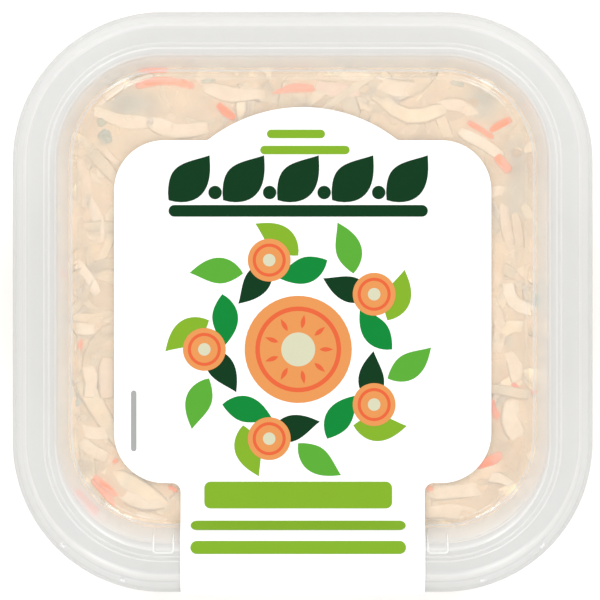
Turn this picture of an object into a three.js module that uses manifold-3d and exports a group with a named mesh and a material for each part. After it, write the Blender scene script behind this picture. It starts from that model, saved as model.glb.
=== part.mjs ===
// A square deli tub of coleslaw: a clear tub with round corners, a clear press-on lid with a sunk
// plate, a paper label whose tongue runs over the front rim as a seal, and the slaw inside.
// Millimetres, +Z up, the label's tongue at -Y. The origin is the middle of the standing surface.
import * as THREE from 'three';
import { mergeVertices } from 'three/addons/utils/BufferGeometryUtils.js';
import Module from 'manifold-3d';

// Outline: a square with round corners. An inset is a distance inwards from the lid's outer edge.
const SIDE = 130;
const CORNER_R = 33.6;
const CORNER_STEPS = 8;
const FLAT = SIDE / 2 - CORNER_R; // half the straight stretch of each side

// Lid
const LID_SHEET = 0.6;
const SKIRT_FOOT = 44.6;
const HEM_HEIGHT = 0.7; // the skirt's small turned-out hem
const HEM_WIDTH = 0.9;
const RIM_TOP = 52;
const PLATE_TOP = 46.6;
const MOAT_DEPTH = 0.4; // the channel round the plate
const GROOVE_DEPTH = 0.2; // the fine groove round the rim
const SHOULDER = 3.6;
const GROOVE_INSET = 7.3;
const RIM_INNER = 10;
const PLATE_EDGE = 14.8;
// How much further in than on the other sides each line of the lid's front is.
const FRONT = { shoulder: 1, rimInner: -0.2, ledge: 1.1, wallFoot: 2, moat: 1.6, plate: 1.4 };
const BEAD = 0.5;
const BEAD_CENTRES = [-31.05, 30.1];
const BEAD_HALF_SPAN = 2.2;
const BEAD_FRONT = -55.9;
const BEAD_FOOT = 47.6;
const CATCH = { wide: 1.4, thick: 0.7, tall: 1.8, inset: 1.7, degrees: [46, 74] };

// Tub
const TUB_SHEET = 0.8;
const TUB_TOP = 50.8;
const WALL_TOP = 49.4;
const WALL_TOP_INSET = 9.1;
const FRONT_TUB = 1.4; // how much further in the tub's front wall is
const DRAFT = THREE.MathUtils.degToRad(6);
const BASE_FILLET = 4;
const FOOT_OUTER = 18.4;
const FOOT_INNER = 22;
const BASE_RISE = 1;
const LIP_FOOT = 47.2;
const LIP_TOP_INSET = 4.9;
const LIP_FOOT_INSET = 4.3;

// Label, flat: its run is measured from the top of its crown, down the plate and over the rim.
const LABEL_SHEET = 0.25;
const LABEL_GAP = 0.25;
const BODY_HALF = 42.2;
const BODY_BACK = 36.2;
const BODY_FRONT = -40.5;
const BODY_R = 11.2;
const CROWN_TOP = 43.6;
const CROWN_R = 34.3;
const CROWN_FILLET = 1.6;
const TONGUE_HALF = 27.3;
const TONGUE_FILLET = 2;
const TONGUE_END_R = 3;
const TONGUE_END_Z = 17;
const PLATE_LEAVE = -47.6; // where the tongue lifts off the plate
const RIM_REACH = -53; // where it reaches the rim
const RIM_LEAVE = -61.9; // and leaves it
const TUB_REACH_Z = 35; // the height at which it meets the tub's front wall

// Slaw
const SLAW_GAP = 0.3;
const CORE_DEPTH = 1.7; // how far the core keeps below the pieces' outer face
const SLAW_FLOOR = 2.3;
const SLAW_TOP = 45.7;
const SLAW_EDGE_TOP = 45.2;
const TOP_SHREDS = 70;
const TOP_CARROTS = 13;
const SIDE_SHREDS = 42;
const SIDE_CARROTS = 8;
const CORNER_RUN = 34.6; // length of the slaw's face round one corner, at mid height
const SEED = 20261;

const wasm = await Module();
wasm.setup();

// A closed geometry as a solid that can be joined or cut.
function solid(geometry) {
  const bare = geometry.clone();
  bare.deleteAttribute('normal');
  bare.deleteAttribute('uv');
  const merged = mergeVertices(bare, 1e-4);
  return new wasm.Manifold(new wasm.Mesh({
    numProp: 3,
    vertProperties: merged.attributes.position.array,
    triVerts: new Uint32Array(merged.index.array),
  }));
}

// The same solid as a geometry again.
function geometryOf(body) {
  const mesh = body.getMesh();
  return new THREE.BufferGeometry()
    .setAttribute('position', new THREE.BufferAttribute(mesh.vertProperties, 3))
    .setIndex(new THREE.BufferAttribute(mesh.triVerts, 1));
}

function geometryFrom(points, faces) {
  return new THREE.BufferGeometry().setFromPoints(points).setIndex(faces);
}

function node(name, geometry, color, roughness, opacity = 1) {
  const material = new THREE.MeshStandardMaterial({
    color, roughness, metalness: 0, opacity, transparent: opacity < 1,
  });
  const mesh = new THREE.Mesh(geometry, material);
  mesh.name = name;
  return mesh;
}

// One turn of the rounded square at an inset and a height, anticlockwise from +X. front moves the
// front side further in.
function ring({ inset, z, front = 0 }) {
  const r = CORNER_R - inset;
  const corners = [[1, 1], [-1, 1], [-1, -1], [1, -1]];
  return corners.flatMap(([sx, sy], k) => Array.from({ length: CORNER_STEPS + 1 }, (_, i) => {
    const a = (k + i / CORNER_STEPS) * Math.PI / 2;
    const y = sy * FLAT + (sy < 0 ? front : 0) + r * Math.sin(a);
    return new THREE.Vector3(sx * FLAT + r * Math.cos(a), y, z);
  }));
}

// A closed surface through a row of rings, ended by a flat fan to the middle at both ends. The
// profile runs outwards below, up outside and inwards on top.
function loft(profile, shape = (p) => p) {
  const rings = profile.map((at) => ring(at).map(shape));
  const n = rings[0].length;
  const faces = [];
  for (let k = 0; k + 1 < rings.length; k++) {
    for (let j = 0; j < n; j++) {
      const a = k * n + j;
      const b = k * n + (j + 1) % n;
      faces.push(a, b, b + n, a, b + n, a + n);
    }
  }
  const points = rings.flat();
  const last = points.length - n;
  const middle = (at) => shape(new THREE.Vector3(0, 0, at.z));
  points.push(middle(profile[0]), middle(profile.at(-1)));
  for (let j = 0; j < n; j++) {
    faces.push((j + 1) % n, j, points.length - 2);
    faces.push(last + j, last + (j + 1) % n, points.length - 1);
  }
  return geometryFrom(points, faces);
}

// A profile moved sideways by a distance, to the right of its run, with mitred corners.
function offset(profile, distance) {
  const heading = (a, b) => new THREE.Vector2(b.inset - a.inset, b.z - a.z).normalize();
  return profile.map((p, i) => {
    const before = i > 0 ? heading(profile[i - 1], p) : heading(p, profile[i + 1]);
    const after = i + 1 < profile.length ? heading(p, profile[i + 1]) : before;
    const across = new THREE.Vector2(before.y + after.y, -before.x - after.x);
    across.multiplyScalar(2 * distance / across.lengthSq());
    return { ...p, inset: p.inset + across.x, z: p.z + across.y };
  });
}

const ledgeEdge = { inset: RIM_INNER + 0.3, z: RIM_TOP - 0.35, front: FRONT.ledge };
const wallFoot = { inset: PLATE_EDGE - 2, z: PLATE_TOP + 0.5, front: FRONT.wallFoot };

// The lid's upper face, from the foot of its skirt over the rim and down to the sunk plate. At the
// front a low ledge lies between the rim and the sunk wall.
function lidFace() {
  const rim = { z: RIM_TOP, front: FRONT.rimInner };
  const groove = { z: RIM_TOP - GROOVE_DEPTH, front: FRONT.rimInner };
  return [
    { inset: 0, z: SKIRT_FOOT },
    { inset: 0, z: SKIRT_FOOT + HEM_HEIGHT },
    { inset: HEM_WIDTH, z: SKIRT_FOOT + HEM_HEIGHT + 0.6 },
    { inset: SHOULDER - 1.1, z: RIM_TOP - 1.4 },
    { inset: SHOULDER - 0.7, z: RIM_TOP - 0.5, front: FRONT.shoulder / 3 },
    { inset: SHOULDER, z: RIM_TOP, front: FRONT.shoulder },
    { inset: GROOVE_INSET, ...rim },
    { inset: GROOVE_INSET + 0.2, ...groove },
    { inset: GROOVE_INSET + 1, ...groove },
    { inset: GROOVE_INSET + 1.2, ...rim },
    { inset: RIM_INNER - 0.3, ...rim },
    { inset: RIM_INNER, z: RIM_TOP - 0.2, front: FRONT.rimInner },
    ledgeEdge,
    { inset: RIM_INNER + 0.5, z: RIM_TOP - 1, front: FRONT.ledge },
    wallFoot,
    { inset: PLATE_EDGE - 1.5, z: PLATE_TOP - 0.15, front: FRONT.wallFoot },
    { inset: PLATE_EDGE - 0.7, z: PLATE_TOP - MOAT_DEPTH, front: FRONT.moat },
    { inset: PLATE_EDGE, z: PLATE_TOP, front: FRONT.plate },
  ];
}

// A raised bead of square section between two points.
function bead(from, to) {
  const box = new THREE.BoxGeometry(BEAD, BEAD, from.distanceTo(to) + BEAD);
  const turn = new THREE.Quaternion().setFromUnitVectors(
    new THREE.Vector3(0, 0, 1), to.clone().sub(from).normalize());
  const middle = from.clone().add(to).multiplyScalar(0.5);
  return solid(box.applyQuaternion(turn).translate(middle.x, middle.y, middle.z));
}

// The U of beads beside the label's tongue: two run up the front's sunk wall and over the ledge,
// and one across the rim closes them.
function guideBeads(centreX) {
  const onFront = (x, { inset, z, front }) => new THREE.Vector3(x, inset + front - SIDE / 2, z);
  const onRim = (x) => new THREE.Vector3(x, BEAD_FRONT, RIM_TOP);
  const sides = [centreX - BEAD_HALF_SPAN, centreX + BEAD_HALF_SPAN];
  const runs = sides.flatMap((x) => {
    const edge = onFront(x, ledgeEdge);
    const rise = (BEAD_FOOT - wallFoot.z) / (ledgeEdge.z - wallFoot.z);
    return [bead(onFront(x, wallFoot).lerp(edge, rise), edge), bead(edge, onRim(x))];
  });
  return [...runs, bead(...sides.map(onRim))];
}

// A small catch on the skirt's outer face, at an angle round one of the front corners.
function skirtCatch(side, degrees) {
  const a = THREE.MathUtils.degToRad(degrees);
  const box = new THREE.BoxGeometry(CATCH.wide, CATCH.thick, CATCH.tall).rotateX(-0.3);
  box.rotateZ(side * (Math.PI / 2 - a));
  const r = CORNER_R - CATCH.inset;
  const x = side * (FLAT + r * Math.cos(a));
  const y = -FLAT - r * Math.sin(a);
  return solid(box.translate(x, y, (SKIRT_FOOT + RIM_TOP) / 2));
}

function lid() {
  const face = lidFace();
  const under = offset(face, LID_SHEET).reverse();
  const catches = CATCH.degrees.flatMap((a) => [skirtCatch(-1, a), skirtCatch(1, a)]);
  const extras = [...BEAD_CENTRES.flatMap(guideBeads), ...catches];
  const body = extras.reduce((sum, extra) => sum.add(extra), solid(loft([...under, ...face])));
  return geometryOf(body);
}

const wallInset = (z) => WALL_TOP_INSET + (WALL_TOP - z) * Math.tan(DRAFT);

// The tub's outer face, from the raised base over the foot, up the wall and out to the rim's lip.
function tub() {
  const front = FRONT_TUB;
  const outer = [
    { inset: FOOT_INNER + 1.2, z: BASE_RISE, front },
    { inset: FOOT_INNER, z: 0, front },
    { inset: FOOT_OUTER, z: 0, front },
    { inset: wallInset(BASE_FILLET) + 1.2, z: 0.7, front },
    { inset: wallInset(BASE_FILLET) + 0.25, z: 2.1, front },
    { inset: wallInset(BASE_FILLET), z: BASE_FILLET, front },
    { inset: WALL_TOP_INSET, z: WALL_TOP, front },
    { inset: WALL_TOP_INSET - 0.7, z: TUB_TOP - TUB_SHEET, front },
    { inset: LIP_TOP_INSET, z: TUB_TOP - TUB_SHEET },
    { inset: LIP_FOOT_INSET, z: LIP_FOOT },
  ];
  return loft([...outer, ...offset(outer, TUB_SHEET).reverse()]);
}

// The run of the label's inner face in the YZ plane: flat on the plate, up to the rim, down past
// the skirt and back to the tub's front wall. Bends are rounded.
function labelRun() {
  const clear = LABEL_GAP + 0.05;
  const wallY = (z) => wallInset(z) + FRONT_TUB - SIDE / 2 - clear;
  const corners = [
    [CROWN_TOP, PLATE_TOP + LABEL_GAP],
    [PLATE_LEAVE, PLATE_TOP + LABEL_GAP],
    [RIM_REACH, RIM_TOP + LABEL_GAP],
    [RIM_LEAVE, RIM_TOP + LABEL_GAP],
    [-SIDE / 2 - clear, SKIRT_FOOT + 1.6],
    [-SIDE / 2 - clear, SKIRT_FOOT - 0.4],
    [wallY(TUB_REACH_Z), TUB_REACH_Z],
    [wallY(TONGUE_END_Z), TONGUE_END_Z],
  ].map(([y, z]) => new THREE.Vector2(y, z));
  const steps = 3;
  const points = [corners[0]];
  for (let i = 1; i + 1 < corners.length; i++) {
    const near = [corners[i - 1], corners[i + 1]].map((p) => p.distanceTo(corners[i]));
    const bend = Math.min(1.6, 0.45 * Math.min(...near));
    const towards = (other) => other.clone().sub(corners[i]).normalize().multiplyScalar(bend);
    const start = corners[i].clone().add(towards(corners[i - 1]));
    const end = corners[i].clone().add(towards(corners[i + 1]));
    points.push(...new THREE.QuadraticBezierCurve(start, corners[i], end).getPoints(steps));
  }
  return [...points, corners.at(-1)];
}

// Half widths of the flat label down its run: crown, shoulders, body, then the tongue.
function labelWidths(length) {
  const rows = [];
  const row = (y, half) => rows.push({ run: CROWN_TOP - y, half });
  const arc = (steps, from, to, at) => {
    for (let i = 0; i <= steps; i++) at(THREE.MathUtils.lerp(from, to, i / steps));
  };
  const crownY = CROWN_TOP - CROWN_R;
  const filletY = BODY_BACK + CROWN_FILLET;
  const filletX = Math.sqrt((CROWN_R + CROWN_FILLET) ** 2 - (filletY - crownY) ** 2);
  const meet = Math.atan2(filletX, filletY - crownY);
  arc(8, 0.04, meet, (a) => row(crownY + CROWN_R * Math.cos(a), CROWN_R * Math.sin(a)));
  arc(2, meet / 2, 0, (a) => row(filletY - CROWN_FILLET * Math.cos(a),
    filletX - CROWN_FILLET * Math.sin(a)));
  const quarter = Math.PI / 2;
  const cornerX = BODY_HALF - BODY_R;
  arc(7, 0.02, quarter, (a) => row(BODY_BACK - BODY_R * (1 - Math.cos(a)),
    cornerX + BODY_R * Math.sin(a)));
  arc(7, quarter, 0.02, (a) => row(BODY_FRONT + BODY_R * (1 - Math.cos(a)),
    cornerX + BODY_R * Math.sin(a)));
  const notchX = TONGUE_HALF + TONGUE_FILLET;
  arc(4, 0.1, quarter, (a) => row(BODY_FRONT - TONGUE_FILLET * (1 - Math.cos(a)),
    notchX - TONGUE_FILLET * Math.sin(a)));
  arc(4, 0, quarter, (a) => rows.push({
    run: length - TONGUE_END_R * (1 - Math.sin(a)),
    half: TONGUE_HALF - TONGUE_END_R * (1 - Math.cos(a)),
  }));
  return rows;
}

// The label: rows of four corners, two on each face, strung along the run.
function label() {
  const run = labelRun();
  const lengths = run.map((_, i) => run.slice(1, i + 1)
    .reduce((sum, p, k) => sum + p.distanceTo(run[k]), 0));
  const widths = labelWidths(lengths.at(-1));
  const halfAt = (s) => {
    const next = widths.findIndex((w) => w.run >= s);
    const [a, b] = [widths[next - 1], widths[next]];
    return THREE.MathUtils.lerp(a.half, b.half, (s - a.run) / (b.run - a.run));
  };
  const bends = lengths.slice(1, -1).map((s) => ({ run: s, half: halfAt(s) }));
  const rows = [...widths, ...bends].sort((a, b) => a.run - b.run);
  const profile = run.map((p) => ({ inset: p.x, z: p.y }));
  const faces = [profile, offset(profile, LABEL_SHEET)].map((side) => (s) => {
    const next = Math.max(1, lengths.findIndex((l) => l >= s - 1e-9));
    const t = (s - lengths[next - 1]) / (lengths[next] - lengths[next - 1]);
    const [a, b] = [side[next - 1], side[next]];
    return [THREE.MathUtils.lerp(a.inset, b.inset, t), THREE.MathUtils.lerp(a.z, b.z, t)];
  });
  const [inner, outer] = faces;
  const points = rows.flatMap(({ run: s, half }) => [
    new THREE.Vector3(-half, ...inner(s)), new THREE.Vector3(half, ...inner(s)),
    new THREE.Vector3(half, ...outer(s)), new THREE.Vector3(-half, ...outer(s)),
  ]);
  const quads = rows.slice(1).flatMap((_, k) => [0, 1, 2, 3].map((j) => {
    const next = (j + 1) % 4;
    return [4 * k + j, 4 * k + next, 4 * k + 4 + next, 4 * k + 4 + j];
  }));
  const last = points.length - 4;
  quads.push([3, 2, 1, 0], [last, last + 1, last + 2, last + 3]);
  return geometryFrom(points, quads.flatMap(([a, b, c, d]) => [a, b, c, a, c, d]));
}

// Repeatable random numbers from 0 to 1.
function randomSource(seed) {
  let state = seed;
  return () => {
    state = (state * 1664525 + 1013904223) >>> 0;
    return state / 2 ** 32;
  };
}

// The free space that the slaw fills, kept off the tub's wall and the lid. depth pulls it in.
function slawSpace(depth) {
  const gap = TUB_SHEET / Math.cos(DRAFT) + SLAW_GAP + depth;
  const front = FRONT_TUB;
  const at = (z, extra = 0) => ({ inset: wallInset(z) + gap + extra, z, front });
  return [
    at(SLAW_FLOOR, 4),
    at(SLAW_FLOOR + 1.2, 1),
    at(SLAW_FLOOR + 4),
    ...[0.25, 0.5, 0.75].map((t) => at(THREE.MathUtils.lerp(SLAW_FLOOR + 4, SLAW_EDGE_TOP, t))),
    at(SLAW_EDGE_TOP - depth),
    { inset: 16, z: SLAW_EDGE_TOP - depth, front },
    { inset: 17, z: SLAW_TOP - depth, front },
  ];
}

// A smooth uneven field, about -1 to 1, a few waves across the tub.
function lumps(p) {
  return (Math.sin(0.31 * p.x + 0.17 * p.y + 1.3) + Math.sin(-0.13 * p.x + 0.37 * p.y + 0.4 * p.z)
    + Math.sin(0.23 * p.x - 0.29 * p.y - 0.33 * p.z + 2.1)) / 3;
}

// The packed middle of the heap, a little uneven, that the pieces are bedded in.
function slawCore() {
  const rows = slawSpace(CORE_DEPTH);
  const top = rows.at(-1);
  const inner = [24, 31].map((inset) => ({ ...top, inset }));
  return solid(loft([...rows, ...inner], (p) => {
    const push = 0.6 * lumps(p);
    const spread = 1 + push / (SIDE / 2);
    const lift = p.z > SLAW_EDGE_TOP - 6 ? push : 0;
    return new THREE.Vector3(p.x * spread, p.y * spread, p.z + lift);
  }));
}

// A strip or stick bent along an arc: a box whose length follows a turning heading, then laid in
// the slaw's outer face by lay(across, up, depth).
function shred({ u, v, heading, length, curl, width, thick, depth, sag, tip }, lay) {
  const steps = 3;
  const box = new THREE.BoxGeometry(1, width, thick, steps, 1, 1);
  const at = box.attributes.position;
  for (let i = 0; i < at.count; i++) {
    const t = at.getX(i);
    const turn = heading + curl * t;
    const reach = Math.abs(curl) < 1e-3 ? t * length : Math.sin(curl * t / 2) / (curl / 2) * length;
    const middle = heading + curl * t / 2;
    const taper = 1 - tip * (2 * t) ** 2;
    const side = at.getY(i) * taper;
    const across = u + reach * Math.cos(middle) - side * Math.sin(turn);
    const up = v + reach * Math.sin(middle) + side * Math.cos(turn);
    const p = lay(across, up, depth - at.getZ(i) + sag * (2 * t) ** 2);
    at.setXYZ(i, p.x, p.y, p.z);
  }
  return solid(box);
}

const layOnTop = (x, y, depth) => new THREE.Vector3(x, y, SLAW_TOP - depth);

// A place on the tub's inner wall: around is measured along the wall, from the right side's front.
function layOnWall(around, z, depth) {
  const inset = wallInset(z) + TUB_SHEET / Math.cos(DRAFT) + SLAW_GAP + depth;
  const sideRun = 2 * FLAT + CORNER_RUN;
  const k = Math.floor(around / sideRun);
  const s = around - k * sideRun;
  const p = s < 2 * FLAT
    ? new THREE.Vector2(SIDE / 2 - inset, s - FLAT)
    : new THREE.Vector2(CORNER_R - inset, 0)
      .rotateAround(new THREE.Vector2(), (s - 2 * FLAT) / CORNER_RUN * Math.PI / 2)
      .add(new THREE.Vector2(FLAT, FLAT));
  p.rotateAround(new THREE.Vector2(), k * Math.PI / 2);
  const forward = THREE.MathUtils.clamp(-p.y / FLAT, 0, 1);
  return new THREE.Vector3(p.x, p.y + FRONT_TUB * forward, z);
}

// Places spread evenly over a unit square, by steps of two irrational parts of its sides.
function spread(i, random) {
  const jitter = 0.05 * (random() - 0.5);
  return [(0.5 + 0.7548776662 * i + jitter) % 1, (0.5 + 0.5698402910 * i + jitter) % 1];
}

function slaw() {
  const random = randomSource(SEED);
  const between = (a, b) => a + (b - a) * random();
  const cabbage = () => ({
    length: between(14, 30), curl: between(-1.3, 1.3), width: between(2, 3.2), thick: 0.9,
    depth: between(0.3, 1.1), sag: between(0.2, 1), tip: between(0.2, 0.6),
  });
  const carrot = () => ({
    length: between(9, 20), curl: between(-0.6, 0.6), width: between(1.6, 2), thick: 1.6,
    depth: between(0.7, 1), sag: between(0, 0.5), tip: between(0, 0.3),
  });
  const top = SIDE - 28;
  const onTop = (i) => {
    const [u, v] = spread(i, random);
    return { u: (u - 0.5) * top, v: (v - 0.5) * top, heading: between(0, Math.PI) };
  };
  const around = 4 * (2 * FLAT + CORNER_RUN);
  const onWall = (i) => {
    const [u, v] = spread(i, random);
    return { u: u * around, v: 6 + 35 * v, heading: between(-0.7, 0.7) };
  };
  const scatter = (shreds, carrots, place, lay) => Array.from({ length: shreds + carrots },
    (_, i) => {
      const kind = (i * carrots) % (shreds + carrots) < carrots ? carrot : cabbage;
      return shred({ ...kind(), ...place(i) }, lay);
    });
  const pieces = [
    ...scatter(TOP_SHREDS, TOP_CARROTS, onTop, layOnTop),
    ...scatter(SIDE_SHREDS, SIDE_CARROTS, onWall, layOnWall),
  ];
  const joined = wasm.Manifold.union([slawCore(), ...pieces]);
  const heap = joined.intersect(solid(loft(slawSpace(0))));
  const bodies = heap.decompose().sort((a, b) => b.volume() - a.volume());
  return geometryOf(bodies[0]);
}

const coleslaw = new THREE.Group();
coleslaw.add(
  node('tub', tub(), 0xe9e9e4, 0.12, 0.3),
  node('lid', lid(), 0xeeeeea, 0.12, 0.3),
  node('label', label(), 0xfdfdfb, 0.45),
  node('slaw', slaw(), 0xefd9ba, 0.35),
);
export default coleslaw;
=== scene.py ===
"""Looks for a square deli tub of coleslaw: clear tub, dressed slaw, clear lid, printed paper label."""
import math

import bmesh
import bpy
import numpy as np
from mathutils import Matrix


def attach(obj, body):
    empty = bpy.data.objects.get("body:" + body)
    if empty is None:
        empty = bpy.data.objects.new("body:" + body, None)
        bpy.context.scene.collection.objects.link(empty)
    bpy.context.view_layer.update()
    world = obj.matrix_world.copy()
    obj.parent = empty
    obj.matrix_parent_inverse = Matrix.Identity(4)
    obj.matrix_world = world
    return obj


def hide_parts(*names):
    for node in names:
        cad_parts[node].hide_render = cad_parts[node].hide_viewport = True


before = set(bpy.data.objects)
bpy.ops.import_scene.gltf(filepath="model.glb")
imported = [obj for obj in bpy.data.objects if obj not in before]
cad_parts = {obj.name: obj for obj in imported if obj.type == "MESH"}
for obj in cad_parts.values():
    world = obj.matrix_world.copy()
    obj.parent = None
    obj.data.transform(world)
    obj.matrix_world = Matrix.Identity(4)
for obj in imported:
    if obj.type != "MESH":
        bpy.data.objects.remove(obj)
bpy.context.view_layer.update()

# ---------------------------------------------------------------------------------------------
# Studio: a pale floor, an even white dome and four softboxes, two at the front and two at the
# back. The camera looks straight down on the lid, with the label's tongue towards it.

MM = 0.001
QUARTER = math.pi / 2
LID_HEIGHT = 45 * MM
CAMERA_DISTANCE = 1.1
VIEW_WIDTH = 0.1345
VIEW_CENTRE = (-0.6 * MM, 0.45 * MM)
SENSOR = 36
DOME = 0.922
WHITE = (1, 1, 1, 1)
FLOOR_HALF = 4.0
FLOOR_SHADE = 0.95
SOFTBOX_SIDE = 0.22
SOFTBOX_WATTS = {62: 2.05, 118: 2.05, 242: 1.2, 298: 1.2}
SOFTBOX_RISE = math.radians(52)


def feed(tree, node, inputs):
    """Each named or numbered input is linked if its value is a socket, and set if it isn't."""
    for name, value in inputs.items():
        if isinstance(value, bpy.types.NodeSocket):
            tree.links.new(value, node.inputs[name])
        else:
            node.inputs[name].default_value = value


def add_node(tree, kind, inputs=None, **settings):
    """A shader node with its settings and then its inputs."""
    node = tree.nodes.new(f"ShaderNode{kind}")
    for name, value in settings.items():
        setattr(node, name, value)
    feed(tree, node, inputs or {})
    return node


def new_material(name, finish):
    """A material with the finish's values in its Principled shader, as (material, tree, shader)."""
    material = bpy.data.materials.new(name)
    material.use_nodes = True
    shader = material.node_tree.nodes["Principled BSDF"]
    feed(material.node_tree, shader, finish)
    return material, material.node_tree, shader


def display_colour(red, green, blue):
    """Linear colour of display values from 0 to 255: the inverse of the sRGB curve."""
    share = np.array((red, green, blue)) / 255
    linear = np.where(share <= 0.04045, share / 12.92, ((share + 0.055) / 1.055) ** 2.4)
    return (*linear.tolist(), 1.0)


def set_camera():
    """Straight above the lid, with a view VIEW_WIDTH wide at the lid's height."""
    camera = bpy.data.objects.new("camera", bpy.data.cameras.new("camera"))
    camera.data.sensor_width = SENSOR
    camera.data.lens = SENSOR * CAMERA_DISTANCE / VIEW_WIDTH
    camera.data.clip_start = 0.05
    camera.data.clip_end = 20
    camera.location = (*VIEW_CENTRE, LID_HEIGHT + CAMERA_DISTANCE)
    bpy.context.scene.collection.objects.link(camera)
    bpy.context.scene.camera = camera


def set_dome():
    """A dome that lights with its own strength and looks white to the camera."""
    world = bpy.data.worlds.new("dome")
    world.use_nodes = True
    tree = world.node_tree
    lit = tree.nodes["Background"]
    feed(tree, lit, {"Color": WHITE, "Strength": DOME})
    seen = add_node(tree, "Background", {"Color": WHITE})
    path = add_node(tree, "LightPath")
    choice = add_node(tree, "MixShader", {"Fac": path.outputs["Is Camera Ray"],
                                          1: lit.outputs["Background"], 2: seen.outputs["Background"]})
    feed(tree, tree.nodes["World Output"], {"Surface": choice.outputs["Shader"]})
    bpy.context.scene.world = world


def lay_floor():
    """One large pale square under the tub."""
    mesh = bpy.data.meshes.new("floor")
    corners = [(x * FLOOR_HALF, y * FLOOR_HALF, 0) for x, y in ((-1, -1), (1, -1), (1, 1), (-1, 1))]
    mesh.from_pydata(corners, [], [(0, 1, 2, 3)])
    floor = bpy.data.objects.new("floor", mesh)
    bpy.context.scene.collection.objects.link(floor)
    shade = (FLOOR_SHADE, FLOOR_SHADE, FLOOR_SHADE, 1)
    finish = {"Base Color": shade, "Roughness": 0.9, "Specular IOR Level": 0.1}
    mesh.materials.append(new_material("floor_paint", finish)[0])


def hang_softbox(degrees, watts):
    """A square lamp a metre off that faces the tub from a bearing, unseen by the camera."""
    lamp = bpy.data.lights.new(f"softbox_{degrees}", "AREA")
    lamp.shape = "SQUARE"
    lamp.size = SOFTBOX_SIDE
    lamp.energy = watts
    box = bpy.data.objects.new(lamp.name, lamp)
    bearing = math.radians(degrees)
    level = math.cos(SOFTBOX_RISE)
    box.location = (level * math.cos(bearing), level * math.sin(bearing), math.sin(SOFTBOX_RISE))
    box.rotation_euler = (0, QUARTER - SOFTBOX_RISE, bearing)
    box.visible_camera = False
    bpy.context.scene.collection.objects.link(box)


set_camera()
set_dome()
lay_floor()
for softbox_bearing, softbox_watts in SOFTBOX_WATTS.items():
    hang_softbox(softbox_bearing, softbox_watts)
bpy.context.scene.view_settings.view_transform = "Standard"

# ---------------------------------------------------------------------------------------------
# Tub: thermoformed from clear polypropylene 0.8 mm thick, a rounded square with drafted walls, a
# raised base, and a rim whose lip turns down for the lid to grip.

HALF_SIDE = 65
CORNER_R = 33.6
FLAT = HALF_SIDE - CORNER_R
TUB_SHEET = 0.8
WALL_TOP = 49.4
WALL_TOP_INSET = 9.1
FRONT_TUB = 1.4
DRAFT = math.radians(6)
BASE_FILLET = 4
TUB_SHADE = (0.95, 0.95, 0.95, 1)
PLASTIC_IOR = 1.49
PLASTIC_PASSES = (0.975, 0.975, 0.97, 1)


def wall_inset(z):
    """How far in from the lid's edge the tub's outer wall is at height z: a straight draft."""
    return WALL_TOP_INSET + (WALL_TOP - z) * math.tan(DRAFT)


def offset_profile(profile, distance):
    """The profile moved to the right of its run: each corner goes along its mitre."""
    run = np.diff(profile[:, :2], axis=0)
    run /= np.linalg.norm(run, axis=1)[:, None]
    before = np.vstack([run[:1], run])
    after = np.vstack([run, run[-1:]])
    across = np.stack([before[:, 1] + after[:, 1], -before[:, 0] - after[:, 0]], axis=1)
    across *= 2 * distance / (across ** 2).sum(axis=1)[:, None]
    moved = profile.copy()
    moved[:, :2] += across
    return moved


def soften(profile, radius, steps=4):
    """Each corner becomes a quadratic Bezier arc, with one more row just before and after it."""
    before, corner, after = profile[:-2], profile[1:-1], profile[2:]
    near = np.linalg.norm((before - corner)[:, :2], axis=1)
    far = np.linalg.norm((after - corner)[:, :2], axis=1)
    bend = np.minimum(radius, 0.42 * np.minimum(near, far))[:, None]
    back = (before - corner) / near[:, None]
    on = (after - corner) / far[:, None]
    t = np.linspace(0, 1, steps + 1)[None, :, None]
    start, end = corner + bend * back, corner + bend * on
    arc = (1 - t) ** 2 * start[:, None] + 2 * t * (1 - t) * corner[:, None] + t ** 2 * end[:, None]
    lead = (corner + 1.15 * bend * back)[:, None]
    trail = (corner + 1.15 * bend * on)[:, None]
    rows = np.concatenate([lead, arc, trail], axis=1).reshape(-1, profile.shape[1])
    return np.vstack([profile[:1], rows, profile[-1:]])


def stations(corner_steps, side_steps):
    """Places round the rounded square as (corner centre x, centre y, angle), anticlockwise."""
    signs = np.array([(1, 1), (-1, 1), (-1, -1), (1, -1), (1, 1)]) * FLAT
    places = []
    for k in range(4):
        turn = k * QUARTER + np.linspace(0, QUARTER, corner_steps + 1)
        places.append(np.column_stack([np.tile(signs[k], (turn.size, 1)), turn]))
        share = np.linspace(0, 1, side_steps + 1)[1:-1, None]
        middle = signs[k] * (1 - share) + signs[k + 1] * share
        places.append(np.column_stack([middle, np.full(share.size, (k + 1) * QUARTER)]))
    return np.vstack(places).T


def towards_front(y):
    """How far along the flat run of the sides y is, from 0 at the back to 1 at the front."""
    return np.clip((FLAT - y) / (2 * FLAT), 0, 1)


def carry(profile, around):
    """Rings of the profile's (inset, z, front) round the square: the corner centre plus the
    corner radius less the inset along the angle, with y moved by front towards the front."""
    centre_x, centre_y, angle = around
    inset, z, front = (column[:, None] for column in profile.T)
    reach = CORNER_R - inset
    x = centre_x + reach * np.cos(angle)
    y = centre_y + towards_front(centre_y) * front + reach * np.sin(angle)
    return np.stack([x, y, z + 0 * angle], axis=-1)


def add_mesh(name, points, faces, smooth=True):
    """An object at the origin from points in millimetres and faces as lists of point numbers."""
    mesh = bpy.data.meshes.new(name)
    mesh.from_pydata(points * MM, [], faces)
    mesh.polygons.foreach_set("use_smooth", np.full(len(mesh.polygons), smooth))
    piece = bpy.data.objects.new(name, mesh)
    bpy.context.scene.collection.objects.link(piece)
    return piece


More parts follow.
